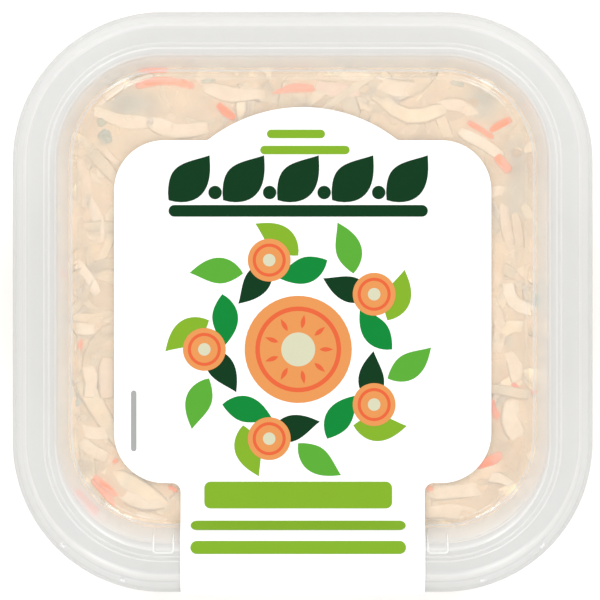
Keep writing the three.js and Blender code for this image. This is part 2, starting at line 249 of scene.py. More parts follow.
def closed_rings(rings):
    """Points and faces of a closed surface through the rings, ended by a fan at both ends."""
    rows, count = rings.shape[:2]
    poles = rings[[0, -1]].mean(axis=1)
    points = np.vstack([rings.reshape(-1, 3), poles])
    row, place = np.meshgrid(np.arange(rows - 1), np.arange(count), indexing="ij")
    here = row * count + place
    beside = row * count + (place + 1) % count
    quads = np.stack([here, beside, beside + count, here + count], axis=-1).reshape(-1, 4)
    ring = np.arange(count)
    following = (ring + 1) % count
    first = np.stack([following, ring, np.full(count, rows * count)], axis=1)
    last = np.stack([ring, following, np.full(count, rows * count + 1)], axis=1)
    last[:, :2] += (rows - 1) * count
    return points, quads.tolist() + first.tolist() + last.tolist()


def fasten(piece, slot, *materials, stands_for=None):
    """The piece gets its materials, rides the one body, and may stand for a node, which it hides. slot
    is not used.
    """
    for material in materials:
        piece.data.materials.append(material)
    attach(piece, "root")
    if stands_for:
        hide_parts(stands_for)


def new_group(name, inputs, outputs):
    """A node group with plain number sockets, as (group, entry node, leave node)."""
    group = bpy.data.node_groups.new(name, "ShaderNodeTree")
    for direction, sockets in (("INPUT", inputs), ("OUTPUT", outputs)):
        for socket in sockets:
            group.interface.new_socket(socket, in_out=direction, socket_type="NodeSocketFloat")
    return group, group.nodes.new("NodeGroupInput"), group.nodes.new("NodeGroupOutput")


def noise(tree, scale, detail=2):
    """Noise on the piece's own coordinates."""
    place = add_node(tree, "TexCoord")
    inputs = {"Vector": place.outputs["Object"], "Scale": scale, "Detail": detail}
    return add_node(tree, "TexNoise", inputs).outputs["Fac"]


def sum_of(tree, value, share, ground):
    """The value times its share, plus the ground."""
    inputs = {0: value, 1: share, 2: ground}
    return add_node(tree, "Math", inputs, operation="MULTIPLY_ADD").outputs["Value"]


def spread(tree, value, low, high, start=0, end=1):
    """The value's range from start to end carried over to low and high."""
    inputs = {"Value": value, "From Min": start, "From Max": end, "To Min": low, "To Max": high}
    return add_node(tree, "MapRange", inputs).outputs["Result"]


def relief(tree, height, strength, distance):
    """The normal of a bump that is at most distance millimetres deep."""
    inputs = {"Height": height, "Strength": strength, "Distance": distance * MM}
    return add_node(tree, "Bump", inputs).outputs["Normal"]


def mix_colours(tree, factor, low, high, blend="MIX"):
    """A mix of two colours, each a plain colour or a socket. A Mix node's colours are its inputs 6
    and 7 and its output 2."""
    inputs = {"Factor": factor, 6: low, 7: high}
    return add_node(tree, "Mix", inputs, data_type="RGBA", blend_type=blend).outputs[2]


def let_through(tree, shader, colour, rays):
    """The surface is the shader, but a clear face of the given colour to the named kinds of ray."""
    path = add_node(tree, "LightPath")
    clear = add_node(tree, "BsdfTransparent", {"Color": colour})
    surface = shader.outputs["BSDF"]
    for ray in rays:
        inputs = {"Fac": path.outputs[ray], 1: surface, 2: clear.outputs["BSDF"]}
        surface = add_node(tree, "MixShader", inputs).outputs["Shader"]
    feed(tree, tree.nodes["Material Output"], {"Surface": surface})


def moulding_group():
    """Moulded plastic: flow waves and a fine grain, as a bump height and a haze mask."""
    group, entry, leave = new_group("moulding", ("Waves",), ("Height", "Haze"))
    waves = noise(group, entry.outputs["Waves"])
    height = sum_of(group, noise(group, 900, 3), 0.06, waves)
    feed(group, leave, {"Height": height, "Haze": waves})
    return group


moulding = moulding_group()


def clear_plastic(name, shade, clarity, waves, roughness, bump, rise=None):
    """Thin polypropylene: it bends no light, as both its faces run side by side, so its gloss is a
    coat. clarity is the share that isn't haze. Lamp light and light that has left the food pass
    straight through it, a little tinted, so that the food below is evenly lit. With rise as
    (low, high, top shade), the shade goes over to the top shade between those heights."""
    material, tree, shader = new_material(name, {
        "Transmission Weight": clarity, "IOR": 1.0,
        "Coat Weight": 1.0, "Coat Roughness": roughness, "Coat IOR": PLASTIC_IOR,
    })
    if rise:
        low, high, top_shade = rise
        place = add_node(tree, "TexCoord")
        height = add_node(tree, "SeparateXYZ", {"Vector": place.outputs["Object"]})
        share = spread(tree, height.outputs["Z"], 0, 1, low * MM, high * MM)
        shade = mix_colours(tree, share, shade, top_shade)
    pattern = add_node(tree, "Group", {"Waves": waves}, node_tree=moulding)
    feed(tree, shader, {
        "Base Color": shade,
        "Roughness": spread(tree, pattern.outputs["Haze"], 0.04, 0.14),
        "Normal": relief(tree, pattern.outputs["Height"], bump, 0.5),
    })
    let_through(tree, shader, PLASTIC_PASSES, ("Is Diffuse Ray", "Is Shadow Ray"))
    return material


def make_tub():
    """The outer face from the raised base over the foot, up the wall and out to the rim's lip,
    closed by its own offset as the inner face."""
    outer = np.array([
        (32.0, 1.0, FRONT_TUB),
        (23.2, 1.0, FRONT_TUB),
        (22.0, 0.0, FRONT_TUB),
        (18.4, 0.0, FRONT_TUB),
        (wall_inset(BASE_FILLET) + 1.2, 0.7, FRONT_TUB),
        (wall_inset(BASE_FILLET) + 0.25, 2.1, FRONT_TUB),
        (wall_inset(BASE_FILLET), BASE_FILLET, FRONT_TUB),
        (WALL_TOP_INSET, WALL_TOP, FRONT_TUB),
        (WALL_TOP_INSET - 0.7, 50.0, FRONT_TUB),
        (4.9, 50.0, 0.0),
        (4.3, 47.2, 0.0),
    ])
    profile = np.vstack([outer, offset_profile(outer, TUB_SHEET)[::-1]])
    tub = add_mesh("tub_shell", *closed_rings(carry(soften(profile, 0.7), stations(24, 8))))
    plastic = clear_plastic("tub_plastic", TUB_SHADE, 0.96, 55, 0.08, 0.02)
    fasten(tub, "clear_plastic", plastic, stands_for="tub")


make_tub()

# ---------------------------------------------------------------------------------------------
# Slaw, its packed middle: shredded cabbage pressed together in a creamy dressing, filling the tub
# from the base to the lid's plate and touching both.

SLAW_CEILING = 46.0
SLAW_FLOOR = 1.9
CEILING_INSET = [10.0, 12.2, 13.0, 14.1, 15.1]
CEILING = [46.2, 45.9, 45.7, 45.6, SLAW_CEILING]
CORE_BELOW = 1.1
CORE_STRIPS = 1500
# Shade painted into the core's tint: what it loses in the hollows and in the valleys between the strips
CORE_SHADE_IN_HOLLOWS = (0.26, 0.30, 0.34)
CORE_SHADE_IN_VALLEYS = (0.03, 0.09, 0.15)
HOLLOW_DEPTH = 0.9
SHARPNESS = 5.5
TINT_SHARPNESS = 16
TOUCHING = 0.98
DRESSING = display_colour(230, 201, 166)
DRESSING_DEEP = display_colour(222, 191, 154)
draw = np.random.default_rng(20261)
# Hollows that the shreds leave below the lid: x, y, half width, half length, share of the depth
HOLLOWS = np.array([
    (-39.0, 44.4, 6.0, 3.6, 1.0), (15.6, 46.9, 2.6, 2.4, 0.7), (47.8, 22.1, 3.1, 6.0, 0.7),
    (46.2, 6.7, 1.2, 1.8, 1.0), (45.7, -8.2, 1.3, 1.5, 0.8), (46.8, -35.1, 4.3, 4.0, 0.5),
    (40.5, -40.5, 1.5, 0.8, 0.9), (37.8, -42.9, 1.5, 0.6, 0.8), (40.4, 44.6, 4.2, 4.0, 0.9),
    (47.8, 31.5, 3.4, 6.0, 0.7), (-46.8, -36.6, 2.5, 2.4, 0.6), (-47.0, 15.8, 1.2, 2.1, 0.8),
    (-48.8, 0.2, 1.9, 5.0, 0.5), (-47.4, -12.7, 2.2, 2.1, 0.7), (-48.9, -26.0, 1.3, 1.0, 0.8),
])


def hollow_share(x, y):
    """How far a place is in a hollow, from 0 to 1: bells about the hollows' middles."""
    a = (x[..., None] - HOLLOWS[:, 0]) / HOLLOWS[:, 2]
    b = (y[..., None] - HOLLOWS[:, 1]) / HOLLOWS[:, 3]
    return np.clip((HOLLOWS[:, 4] * np.exp(-(a ** 2 + b ** 2) ** 1.5)).sum(axis=-1), 0, 1)


def wall_reach(z):
    """The inset of the tub's inner face at height z, with the foot's fillet."""
    fillet = np.interp(z, [1.9, 3.5, 6.3], [4.0, 1.0, 0.0])
    return WALL_TOP_INSET + (WALL_TOP - z) * math.tan(DRAFT) + TUB_SHEET / math.cos(DRAFT) + fillet


def press(points, slack):
    """Points moved into the tub's free space: sideways to the wall's inner face, up to the base
    and down below the lid. slack is how far each one stays off the plastic."""
    x, y, z = np.moveaxis(points, -1, 0)
    z = np.maximum(z, SLAW_FLOOR + slack)
    shift = FRONT_TUB * towards_front(y)
    over_x = np.abs(x) - FLAT
    over_y = np.abs(y - shift) - FLAT
    corner_x, corner_y = np.maximum(over_x, 0), np.maximum(over_y, 0)
    reach = np.hypot(corner_x, corner_y)
    inside = np.minimum(np.maximum(over_x, over_y), 0)
    inset = CORNER_R - reach - inside
    limit = wall_reach(z) + slack
    push = np.maximum(limit - inset, 0)
    length = np.maximum(reach, 1e-6)
    x = x - np.sign(x) * push * corner_x / length
    y = y - np.sign(y - shift) * push * corner_y / length
    inset = inset + push
    z = np.minimum(z, np.interp(inset, CEILING_INSET, CEILING) - slack)
    return np.stack([x, y, z], axis=-1)


def lumps(points, short, long):
    """An uneven field of about -1 to 1: the sum of 30 plane waves of random bearing and length."""
    ways = draw.normal(size=(30, 3))
    ways /= np.linalg.norm(ways, axis=1)[:, None]
    ways *= 2 * math.pi / draw.uniform(short, long, 30)[:, None]
    waves = np.sin(points @ ways.T + draw.uniform(0, 2 * math.pi, 30))
    return waves.sum(axis=-1) * 1.6 / math.sqrt(30)


def food_group():
    """Moist food: a broad and a fine mottle from 0 to 1, and their sum as a bump height."""
    group, entry, leave = new_group("moist_mottle", ("Broad", "Fine"), ("Patches", "Specks", "Height"))
    broad = noise(group, entry.outputs["Broad"])
    fine = noise(group, entry.outputs["Fine"], 4)
    feed(group, leave, {"Patches": broad, "Specks": fine, "Height": sum_of(group, fine, 0.35, broad)})
    return group


moist_mottle = food_group()


def times_tint(tree, colour):
    """A colour multiplied by the mesh's own tint at each point."""
    tint = add_node(tree, "Attribute", attribute_name="tint")
    return mix_colours(tree, 1.0, colour, tint.outputs["Color"], "MULTIPLY")


def moist_food(name, pale, deep, broad, fine, soak, bump, radius):
    """Food in dressing: a tint of its own for each piece, mottled between a pale and a deep
    colour, soft light below the surface and a thin wet coat."""
    material, tree, shader = new_material(name, {
        "Subsurface Weight": soak, "Subsurface Radius": radius, "Subsurface Scale": MM,
        "Specular IOR Level": 0.3, "Coat Weight": 0.06, "Coat Roughness": 0.3,
    })
    pattern = add_node(tree, "Group", {"Broad": broad, "Fine": fine}, node_tree=moist_mottle)
    depth = spread(tree, pattern.outputs["Patches"], 0, 1, 0.3, 0.7)
    feed(tree, shader, {
        "Base Color": times_tint(tree, mix_colours(tree, depth, pale, deep)),
        "Roughness": spread(tree, pattern.outputs["Specks"], 0.3, 0.5),
        "Normal": relief(tree, pattern.outputs["Height"], bump, 0.3),
    })
    return material


def tint_mesh(piece, tints):
    """One colour for each point, as the attribute that the food materials multiply by."""
    colours = np.column_stack([tints, np.ones(len(tints))]).astype(np.float32)
    attribute = piece.data.color_attributes.new("tint", "FLOAT_COLOR", "POINT")
    attribute.data.foreach_set("color", colours.ravel())


def cut(count, **ranges):
    """The same number of draws for each named range, as a dict of arrays."""
    return {name: draw.uniform(low, high, count) for name, (low, high) in ranges.items()}


def core_rings():
    """The tub's free space less the core's depth, as rings from the base's middle up the wall to
    the top's middle, closest together where they show."""
    wall = np.linspace(6.3, 44.9, 64)
    base = [(s, SLAW_FLOOR + CORE_BELOW, FRONT_TUB) for s in np.linspace(31, 19.5, 18)]
    foot = [(wall_reach(z) + CORE_BELOW, z, FRONT_TUB) for z in (3.2, 4.2, 5.2)]
    side = [(wall_reach(z) + CORE_BELOW, z, FRONT_TUB) for z in wall]
    top = [(s, SLAW_CEILING - CORE_BELOW, FRONT_TUB) for s in np.linspace(12.2, 29, 36)]
    return carry(np.array(base + foot + side + top), stations(84, 86))


def facing(rings):
    """The outward direction at each point and the area about it, from the grid's two runs."""
    around = np.roll(rings, -1, axis=1) - np.roll(rings, 1, axis=1)
    up = np.gradient(rings, axis=0)
    out = np.cross(around, up)
    area = np.linalg.norm(out, axis=-1)
    return out / np.maximum(area, 1e-9)[..., None], area


def dressed_tints(count):
    """One tint for each piece, between cream, peach and a half clear grey, lighter or darker."""
    kinds = np.array([(1.0, 0.99, 0.97), (1.0, 0.93, 0.85), (0.955, 0.965, 0.945)])
    share = draw.dirichlet((0.9, 0.7, 0.3), count)
    return share @ kinds * draw.uniform(0.74, 1.06, (count, 1))


def bed_strips(rings, outward, area, count):
    """Relief and tint of strips sunk in dressing. In a strip's own plane, across is the distance
    from its bent middle line in half widths and along in half lengths: its height is its lift
    plus its thickness times 1 less the larger of across^2.4 and along^5. The surface is the
    smooth maximum of all heights, log(sum(exp(k h))) / k, and the tint an average whose weights
    are exp of a greater k times the height, so that it changes at the strips' edges."""
    points, out = rings.reshape(-1, 3), outward.reshape(-1, 3)
    ground = 0.2 * lumps(points, 4, 12) - 0.45
    total = np.exp(SHARPNESS * ground)
    shares = np.exp(TINT_SHARPNESS * ground)
    # The ground between the strips is tinted darker and warmer: painted shade down in the crevices
    tint = shares[:, None] * np.array([0.82, 0.78, 0.73])
    one = cut(count, length=(9, 24), width=(2.8, 7.0), bow=(-0.07, 0.07), thick=(0.35, 0.7),
              lift=(-1.1, 0.0), turn=(0, math.pi), slope=(-0.07, 0.07))
    colours = dressed_tints(count)
    places = draw.choice(len(points), count, p=area.ravel() / area.sum())
    for k, place in enumerate(places):
        middle, normal = points[place], out[place]
        level = np.cross((0.0, 0.0, 1.0), normal) if abs(normal[2]) < 0.7 else np.array([1.0, 0, 0])
        level = np.cross(np.cross(normal, level), normal)
        level /= np.linalg.norm(level)
        rise = np.cross(normal, level)
        turn = one["turn"][k] if abs(normal[2]) > 0.7 else 0.5 * (one["turn"][k] - QUARTER)
        run = math.cos(turn) * level + math.sin(turn) * rise
        side = np.cross(normal, run)
        reach = 0.75 * one["length"][k]
        near = np.flatnonzero(np.abs(points - middle).max(axis=1) < reach)
        local = points[near] - middle
        a, b, n = local @ run, local @ side, local @ normal
        across = np.abs(b - one["bow"][k] * a ** 2) / (one["width"][k] / 2)
        along = np.abs(a) / (one["length"][k] / 2)
        height = one["lift"][k] + one["slope"][k] * a
        height += one["thick"][k] * (1 - np.maximum(across ** 2.4, along ** 5))
        height = np.where(np.abs(n) < 4, np.maximum(height, -2), -2)
        total[near] += np.exp(SHARPNESS * height)
        weight = np.exp(TINT_SHARPNESS * height)
        shares[near] += weight
        tint[near] += weight[:, None] * colours[k]
    shape = rings.shape[:2]
    return (np.log(total) / SHARPNESS).reshape(shape), tint / shares[:, None]


def make_core():
    """The bed of strips, pressed to the plastic all round and lower in the hollows, with shade painted
    into its tint: darker and greyer in the hollows, and darker and yellower in the valleys between the
    strips."""
    rings = core_rings()
    outward, area = facing(rings)
    rise, tints = bed_strips(rings, outward, area, CORE_STRIPS)
    rise -= np.quantile(rise, TOUCHING)
    hollow = np.where(rings[..., 2] > 40, hollow_share(rings[..., 0], rings[..., 1]), 0)
    rise -= HOLLOW_DEPTH * hollow
    # Painted shade: darker and greyer in the hollows, darker and yellower where the relief sinks into
    # valleys
    tints *= 1 - hollow.reshape(-1, 1) * CORE_SHADE_IN_HOLLOWS
    tints *= 1 - np.clip(-rise.reshape(-1, 1) - 0.25, 0, 1) * CORE_SHADE_IN_VALLEYS
    rings = press(rings + (CORE_BELOW + rise)[..., None] * outward, 0.02)
    core = add_mesh("slaw_packed_core", *closed_rings(rings))
    tint_mesh(core, np.vstack([tints, np.full((2, 3), 0.9)]))
    dressed = moist_food("dressed_core", DRESSING, DRESSING_DEEP, 260, 1400, 0.35, 0.1, (1.0, 0.9, 0.8))
    fasten(core, "cabbage", dressed, stands_for="slaw")


make_core()

# ---------------------------------------------------------------------------------------------
# Slaw, its cabbage: white cabbage shredded into curved strips 2 to 4 mm wide, limp and coated in
# dressing, and pressed flat where they meet the plastic.

RUN = np.array([-0.5, -0.47, -0.33, -0.17, 0, 0.17, 0.33, 0.47, 0.5])
END_SCALE = np.array([0.62, 0.92, 1, 1, 1, 1, 1, 0.92, 0.62])
END_COAT = np.array([0.9, 0.35, 0, 0, 0, 0, 0, 0.35, 0.9])
FLAT_SECTION = np.array([(0.5, 0), (0.34, 0.5), (-0.34, 0.5), (-0.5, 0), (-0.34, -0.5), (0.34, -0.5)])
CORNER_RUN = 34.6
SIDE_RUN = 2 * FLAT + CORNER_RUN


def strips(pieces, section):
    """Strips in a flat sheet, as (along u, along v, out) of each point. The middle line's heading
    turns evenly by curl and swings by sway, the section rolls and twists about it, its edges
    lift by cup, its width swells and shrinks along it, its ends thin by tip and sink by sag."""
    one = {name: value[:, None] for name, value in pieces.items()}
    heading = one["heading"] + one["curl"] * RUN + one["sway"] * np.sin(2 * math.pi * RUN)
    step = np.diff(RUN) * one["length"]
    middle = (heading[:, 1:] + heading[:, :-1]) / 2
    u = np.pad(np.cumsum(step * np.cos(middle), axis=1), ((0, 0), (1, 0)))
    v = np.pad(np.cumsum(step * np.sin(middle), axis=1), ((0, 0), (1, 0)))
    u, v = u - u[:, 4:5], v - v[:, 4:5]
    swell = one["swell"] * np.sin(8 * RUN + one["phase"])
    taper = END_SCALE * (1 - one["tip"] * (2 * RUN) ** 2 + swell)
    across = (one["width"] * taper)[..., None] * section[:, 0]
    rise = (one["thick"] * np.sqrt(taper))[..., None] * section[:, 1]
    rise = rise + one["cup"][..., None] * (across / one["width"][..., None]) ** 2 * 4
    roll = (one["roll"] + one["twist"] * RUN)[..., None]
    side = across * np.cos(roll) - rise * np.sin(roll)
    out = across * np.sin(roll) + rise * np.cos(roll)
    out = out - (one["depth"] + one["sag"] * (2 * RUN) ** 2)[..., None]
    u = u[..., None] - side * np.sin(heading)[..., None]
    v = v[..., None] + side * np.cos(heading)[..., None]
    return u, v, out


def lay_on_top(pieces, section):
    """Below the lid, and sunk where the slaw leaves a hollow."""
    u, v, out = strips(pieces, section)
    x = pieces["x"][:, None, None] + u
    y = pieces["y"][:, None, None] + v
    return np.stack([x, y, SLAW_CEILING + out - HOLLOW_DEPTH * hollow_share(x, y)], axis=-1)


def lay_on_base(pieces, section):
    """On the base, seen from below."""
    u, v, out = strips(pieces, section)
    x = pieces["x"][:, None, None] + u
    y = pieces["y"][:, None, None] - v
    return np.stack([x, y, SLAW_FLOOR - out], axis=-1)


def lay_on_wall(pieces, section):
    """u runs round the wall from the right side's front, v up it, out away from the middle."""
    u, v, out = strips(pieces, section)
    around = pieces["around"][:, None, None] + u
    z = pieces["z"][:, None, None] + v
    side = np.floor(around / SIDE_RUN)
    run = around - side * SIDE_RUN
    straight = np.minimum(run, 2 * FLAT) - FLAT
    angle = np.maximum(run - 2 * FLAT, 0) / CORNER_RUN * QUARTER
    reach = CORNER_R - wall_reach(np.clip(z, SLAW_FLOOR, 46)) + out
    x = FLAT + reach * np.cos(angle)
    y = straight + reach * np.sin(angle)
    turn = side * QUARTER
    world_x = x * np.cos(turn) - y * np.sin(turn)
    world_y = x * np.sin(turn) + y * np.cos(turn)
    return np.stack([world_x, world_y + FRONT_TUB * towards_front(world_y), z], axis=-1)


def strip_faces(count, section_points):
    """Side quads and two end caps for each strip."""
    rows = len(RUN)
    row, place = np.meshgrid(np.arange(rows - 1), np.arange(section_points), indexing="ij")
    here = row * section_points + place
    beside = row * section_points + (place + 1) % section_points
    side = np.stack([here, here + section_points, beside + section_points, beside], axis=-1)
    cap = np.arange(section_points)
    caps = np.stack([cap, (cap + (rows - 1) * section_points)[::-1]])
    start = np.arange(count)[:, None, None] * rows * section_points
    return (side.reshape(1, -1, 4) + start).reshape(-1, 4).tolist() + (
        caps[None] + start).reshape(-1, section_points).tolist()


def add_strips(name, lay, pieces, section, tints, dressing, slack, material, slot):
    """One mesh of many strips, pressed into the tub, each with its own tint, which goes over to the
    given coat colour along the strip's edges, underneath and at its ends: the dressing's, and for the
    cabbage the dressing's made darker and warmer as painted shade."""
    points = press(lay(pieces, section), slack[:, None, None])
    count, rows, around = points.shape[:3]
    piece = add_mesh(name, points.reshape(-1, 3), strip_faces(count, around))
    coat = np.maximum(np.clip(1 - 2 * section[:, 1], 0, 1), END_COAT[:, None])[..., None]
    colours = tints[:, None, None] * (1 - coat * dressing[1]) + dressing[0] * coat * dressing[1]
    tint_mesh(piece, colours.reshape(-1, 3))
    fasten(piece, slot, material)


def set_by_hand(pieces, rows, names=("x", "y", "length", "heading", "curl", "width")):
    """The pieces with the named values taken from the rows, and the heading from degrees."""
    for name, values in zip(names, zip(*rows)):
        pieces[name] = np.array(values, float)
    pieces["heading"] = np.radians(pieces["heading"])
    return pieces


def set_round_wall(pieces, low, high):
    """The pieces strewn round the wall between two heights."""
    count = len(pieces["length"])
    pieces["around"] = draw.uniform(0, 4 * SIDE_RUN, count)
    pieces["z"] = draw.uniform(low, high, count)


def strew_hidden(names, pieces, counts, top, half, section, tints, coat, slack, material, slot):
    """Two meshes of strips away from the lid: round the wall up to the height top, and on the
    base within half of its middle both ways."""
    side = pieces(counts[0])
    set_round_wall(side, 3, top)
    side["heading"] = draw.uniform(-0.8, 0.8, counts[0])
    add_strips(names[0], lay_on_wall, side, section, tints(counts[0]), coat,
               draw.uniform(-0.05, slack, counts[0]), material, slot)
    base = pieces(counts[1])
    base["x"], base["y"] = draw.uniform(-half, half, (2, counts[1]))
    add_strips(names[1], lay_on_base, base, section, tints(counts[1]), coat,
               draw.uniform(-0.05, slack, counts[1]), material, slot)


def own_tints(rows, tones, base):
    """The tint that turns the base colour into each row's own tone, its last value."""
    return np.array([display_colour(*tones[row[-1]])[:3] for row in rows]) / base[:3]


def cabbage_pieces(count):
    """Long, limp, flat and curly shreds, in millimetres and radians."""
    return cut(count, length=(12, 26), curl=(-1.8, 1.8), sway=(-0.5, 0.5), width=(1.7, 4.9),
               thick=(0.5, 0.8), depth=(0.3, 0.85), sag=(0, 0.5), tip=(0, 0.35), cup=(-0.25, 0.1),
               swell=(0, 0.16), phase=(0, 2 * math.pi), roll=(-0.09, 0.09), twist=(-0.2, 0.2),
               heading=(0, math.pi))


TOP_STRIPS = 240
CABBAGE_PALE = display_colour(243, 217, 183)
CABBAGE_DEEP = display_colour(236, 207, 171)
# The shreds' edges, undersides and ends take the dressing's colour made darker and warmer, with its
# share: dressing coat and painted shade in the crevices
CABBAGE_EDGE_COAT_AND_SHADE = (np.array([1.0, 0.95, 0.88]) * DRESSING[:3] / CABBAGE_PALE[:3], 1.0)
SHRED_TONES = {
    "cream": (251, 229, 205), "pale": (248, 224, 197), "straw": (242, 217, 190),
    "tan": (236, 208, 180), "peach": (243, 203, 181), "dull": (224, 196, 167),
}
# The shreds that lie uppermost: x, y, length, heading in degrees, curl, width, tone
SHOWN_SHREDS = [
    (-40.4, 40.5, 13.7, -12, -0.3, 2.7, "cream"), (-28.1, 38.3, 14.4, -6, 0.3, 3.4, "pale"),
    (-43.2, 32.6, 5.4, -47, 0.9, 1.3, "straw"), (-15.5, 46.4, 14.6, -6, -0.4, 2.9, "straw"),
    (40.1, 35.7, 11.6, -31, 0.2, 2.5, "cream"), (35.3, 43.9, 11.0, -17, -0.5, 2.7, "pale"),
    (-48.0, 5.7, 9.1, -57, 0.4, 2.2, "cream"), (-45.9, 18.8, 11.7, -75, 0.3, 2.5, "straw"),
    (-48.3, 26.8, 11.5, -82, -0.3, 2.2, "tan"), (-48.6, -6.1, 4.6, 0, 0.0, 2.5, "cream"),
    (-43.9, -17.0, 9.1, -90, 0.2, 3.1, "tan"), (-47.4, -17.5, 7.9, -86, -0.2, 2.7, "pale"),
    (-46.2, -29.5, 9.6, -2, -0.3, 2.9, "cream"), (-47.0, -33.4, 7.3, -32, 0.3, 2.5, "pale"),
    (44.0, 25.0, 5.4, 3, 0.2, 2.2, "straw"), (45.8, 15.9, 15.6, -77, 0.4, 2.2, "tan"),
    (48.4, 14.1, 13.4, -85, -0.5, 2.0, "dull"), (47.1, 0.2, 11.5, -51, 0.5, 2.7, "cream"),
    (44.2, -5.2, 12.8, -83, -0.3, 2.5, "straw"), (47.7, -14.3, 7.2, -74, 0.2, 2.7, "pale"),
    (46.7, -26.7, 10.0, -80, 0.1, 3.8, "cream"), (43.9, -39.4, 8.4, -14, -0.2, 2.0, "pale"),
    (33.9, -42.4, 12.6, 2, 0.2, 3.1, "pale"), (32.8, -46.8, 13.0, -2, -0.2, 2.9, "pale"),
    (-35.8, -45.0, 13.2, -11, 0.3, 2.9, "pale"), (-36.0, -48.4, 14.8, -4, -0.2, 2.2, "straw"),
    (20.7, 47.8, 13.3, -10, 0.3, 3.1, "pale"), (10.3, 50.9, 12.1, -7, -0.2, 2.5, "straw"),
    (-33.5, 52.2, 6.8, 0, 0.0, 1.6, "peach"), (7.8, 47.4, 10.1, -8, 0.2, 2.9, "peach"),
    (46.3, -43.5, 7.5, 38, -0.3, 1.6, "peach"), (-48.1, -44.6, 11.7, -47, -0.2, 2.0, "peach"),
]
cabbage = moist_food("white_cabbage", CABBAGE_PALE, CABBAGE_DEEP, 180, 1100, 0.45, 0.1, (0.9, 0.8, 0.7))
top_shreds = cabbage_pieces(TOP_STRIPS)
bearing = draw.uniform(0, 2 * math.pi, TOP_STRIPS)
squareness = np.maximum(np.abs(np.cos(bearing)), np.abs(np.sin(bearing)))
distance = draw.uniform(36, 53, TOP_STRIPS) / squareness
top_shreds["x"] = np.clip(distance * np.cos(bearing), -53, 53)
top_shreds["y"] = np.clip(distance * np.sin(bearing), -51, 53)
top_shreds["thick"] *= 0.75
top_shreds["depth"] += 0.5 * hollow_share(top_shreds["x"], top_shreds["y"]) - 0.18
add_strips("cabbage_shreds_top", lay_on_top, top_shreds, FLAT_SECTION, dressed_tints(TOP_STRIPS),
           CABBAGE_EDGE_COAT_AND_SHADE, draw.uniform(0.03, 0.3, TOP_STRIPS), cabbage, "cabbage")
upper_shreds = set_by_hand(cabbage_pieces(len(SHOWN_SHREDS)), SHOWN_SHREDS)
upper_shreds["width"] *= 1.3
upper_shreds["depth"][:] = 0.2
upper_tints = 0.92 * own_tints(SHOWN_SHREDS, SHRED_TONES, CABBAGE_PALE) ** 0.75
add_strips("cabbage_shreds_upper", lay_on_top, upper_shreds, FLAT_SECTION, upper_tints,
           CABBAGE_EDGE_COAT_AND_SHADE, 0.003 * np.arange(len(SHOWN_SHREDS)), cabbage, "cabbage")
strew_hidden(("cabbage_shreds_side", "cabbage_shreds_base"), cabbage_pieces, (330, 140), 45, 48,
             FLAT_SECTION, dressed_tints, CABBAGE_EDGE_COAT_AND_SHADE, 0.2, cabbage, "cabbage")

# ---------------------------------------------------------------------------------------------
# Slaw, its carrot: thin sticks cut square, 1.6 to 2.1 mm thick, softened by the dressing.

SQUARE_SECTION = np.array([(0.5, 0.3), (0.3, 0.5), (-0.3, 0.5), (-0.5, 0.3),
                           (-0.5, -0.3), (-0.3, -0.5), (0.3, -0.5), (0.5, -0.3)])
CARROT = display_colour(253, 122, 48)
CARROT_DEEP = display_colour(248, 104, 34)
ON_CARROT = (np.array(DRESSING[:3]) / CARROT[:3], 0.3)
# The sticks that show from above: x, y, length, heading in degrees, curl, width, depth
SHOWN_CARROTS = np.array([
    (-30.9, 49.5, 13.4, 0, -0.8, 1.9, 0.4),
    (-17.2, 42.6, 5.0, -40, 0.2, 1.9, 0.4),
    (44.2, 39.7, 5.6, 30, 0.1, 1.8, 0.4),
    (39.9, 38.6, 6.8, -32, 0.1, 1.4, 0.42),
    (44.9, 31.0, 4.7, -50, 0.1, 2.1, 0.42),
    (47.4, -18.6, 4.6, -45, 0.1, 1.6, 1.1),
    (42.6, -24.0, 5.0, -70, 0.8, 2.3, 0.9),
    (42.0, -35.6, 6.5, 25, 0.2, 2.4, 0.42),
    (-44.3, -41.3, 10.0, -38.5, 0.1, 1.9, 0.65),
    (-49.8, -9.9, 4.4, 85, 0.1, 1.5, 0.95),
    (-2.0, 48.0, 11.0, 4, -0.3, 2.3, 0.9),
    (51.8, -20.1, 1.2, 0, 0.0, 0.9, 0.5),
    (28.4, -41.8, 2.0, -20, 0.3, 1.2, 0.5),
    (-29.1, -41.9, 2.4, -30, 0.9, 1.0, 0.5),
    (-42.0, -35.6, 1.3, 40, 0.0, 1.0, 0.5),
    (-44.6, -42.6, 8.5, -48, 0.2, 1.6, 0.7),
    (-48.4, -44.6, 11.0, -47, -0.2, 1.8, 0.85),
    (-33.5, 52.0, 6.4, 0, 0.0, 1.4, 0.45),
])


def carrot_pieces(count):
    """Short sticks, nearly straight and as thick as they are wide."""
    return cut(count, length=(7, 17), curl=(-0.5, 0.5), sway=(-0.1, 0.1), width=(1.5, 2.1),
               thick=(1.4, 1.9), depth=(0.8, 1.3), sag=(0, 0.4), tip=(0, 0.25), cup=(0, 0),
               swell=(0, 0.05), phase=(0, 6), roll=(-0.3, 0.3), twist=(-0.3, 0.3), heading=(0, math.pi))


def carrot_tints(count):
    """One tint for each stick, lighter or darker."""
    return np.array([1, 0.97, 0.93]) * draw.uniform(0.92, 1.05, (count, 1))


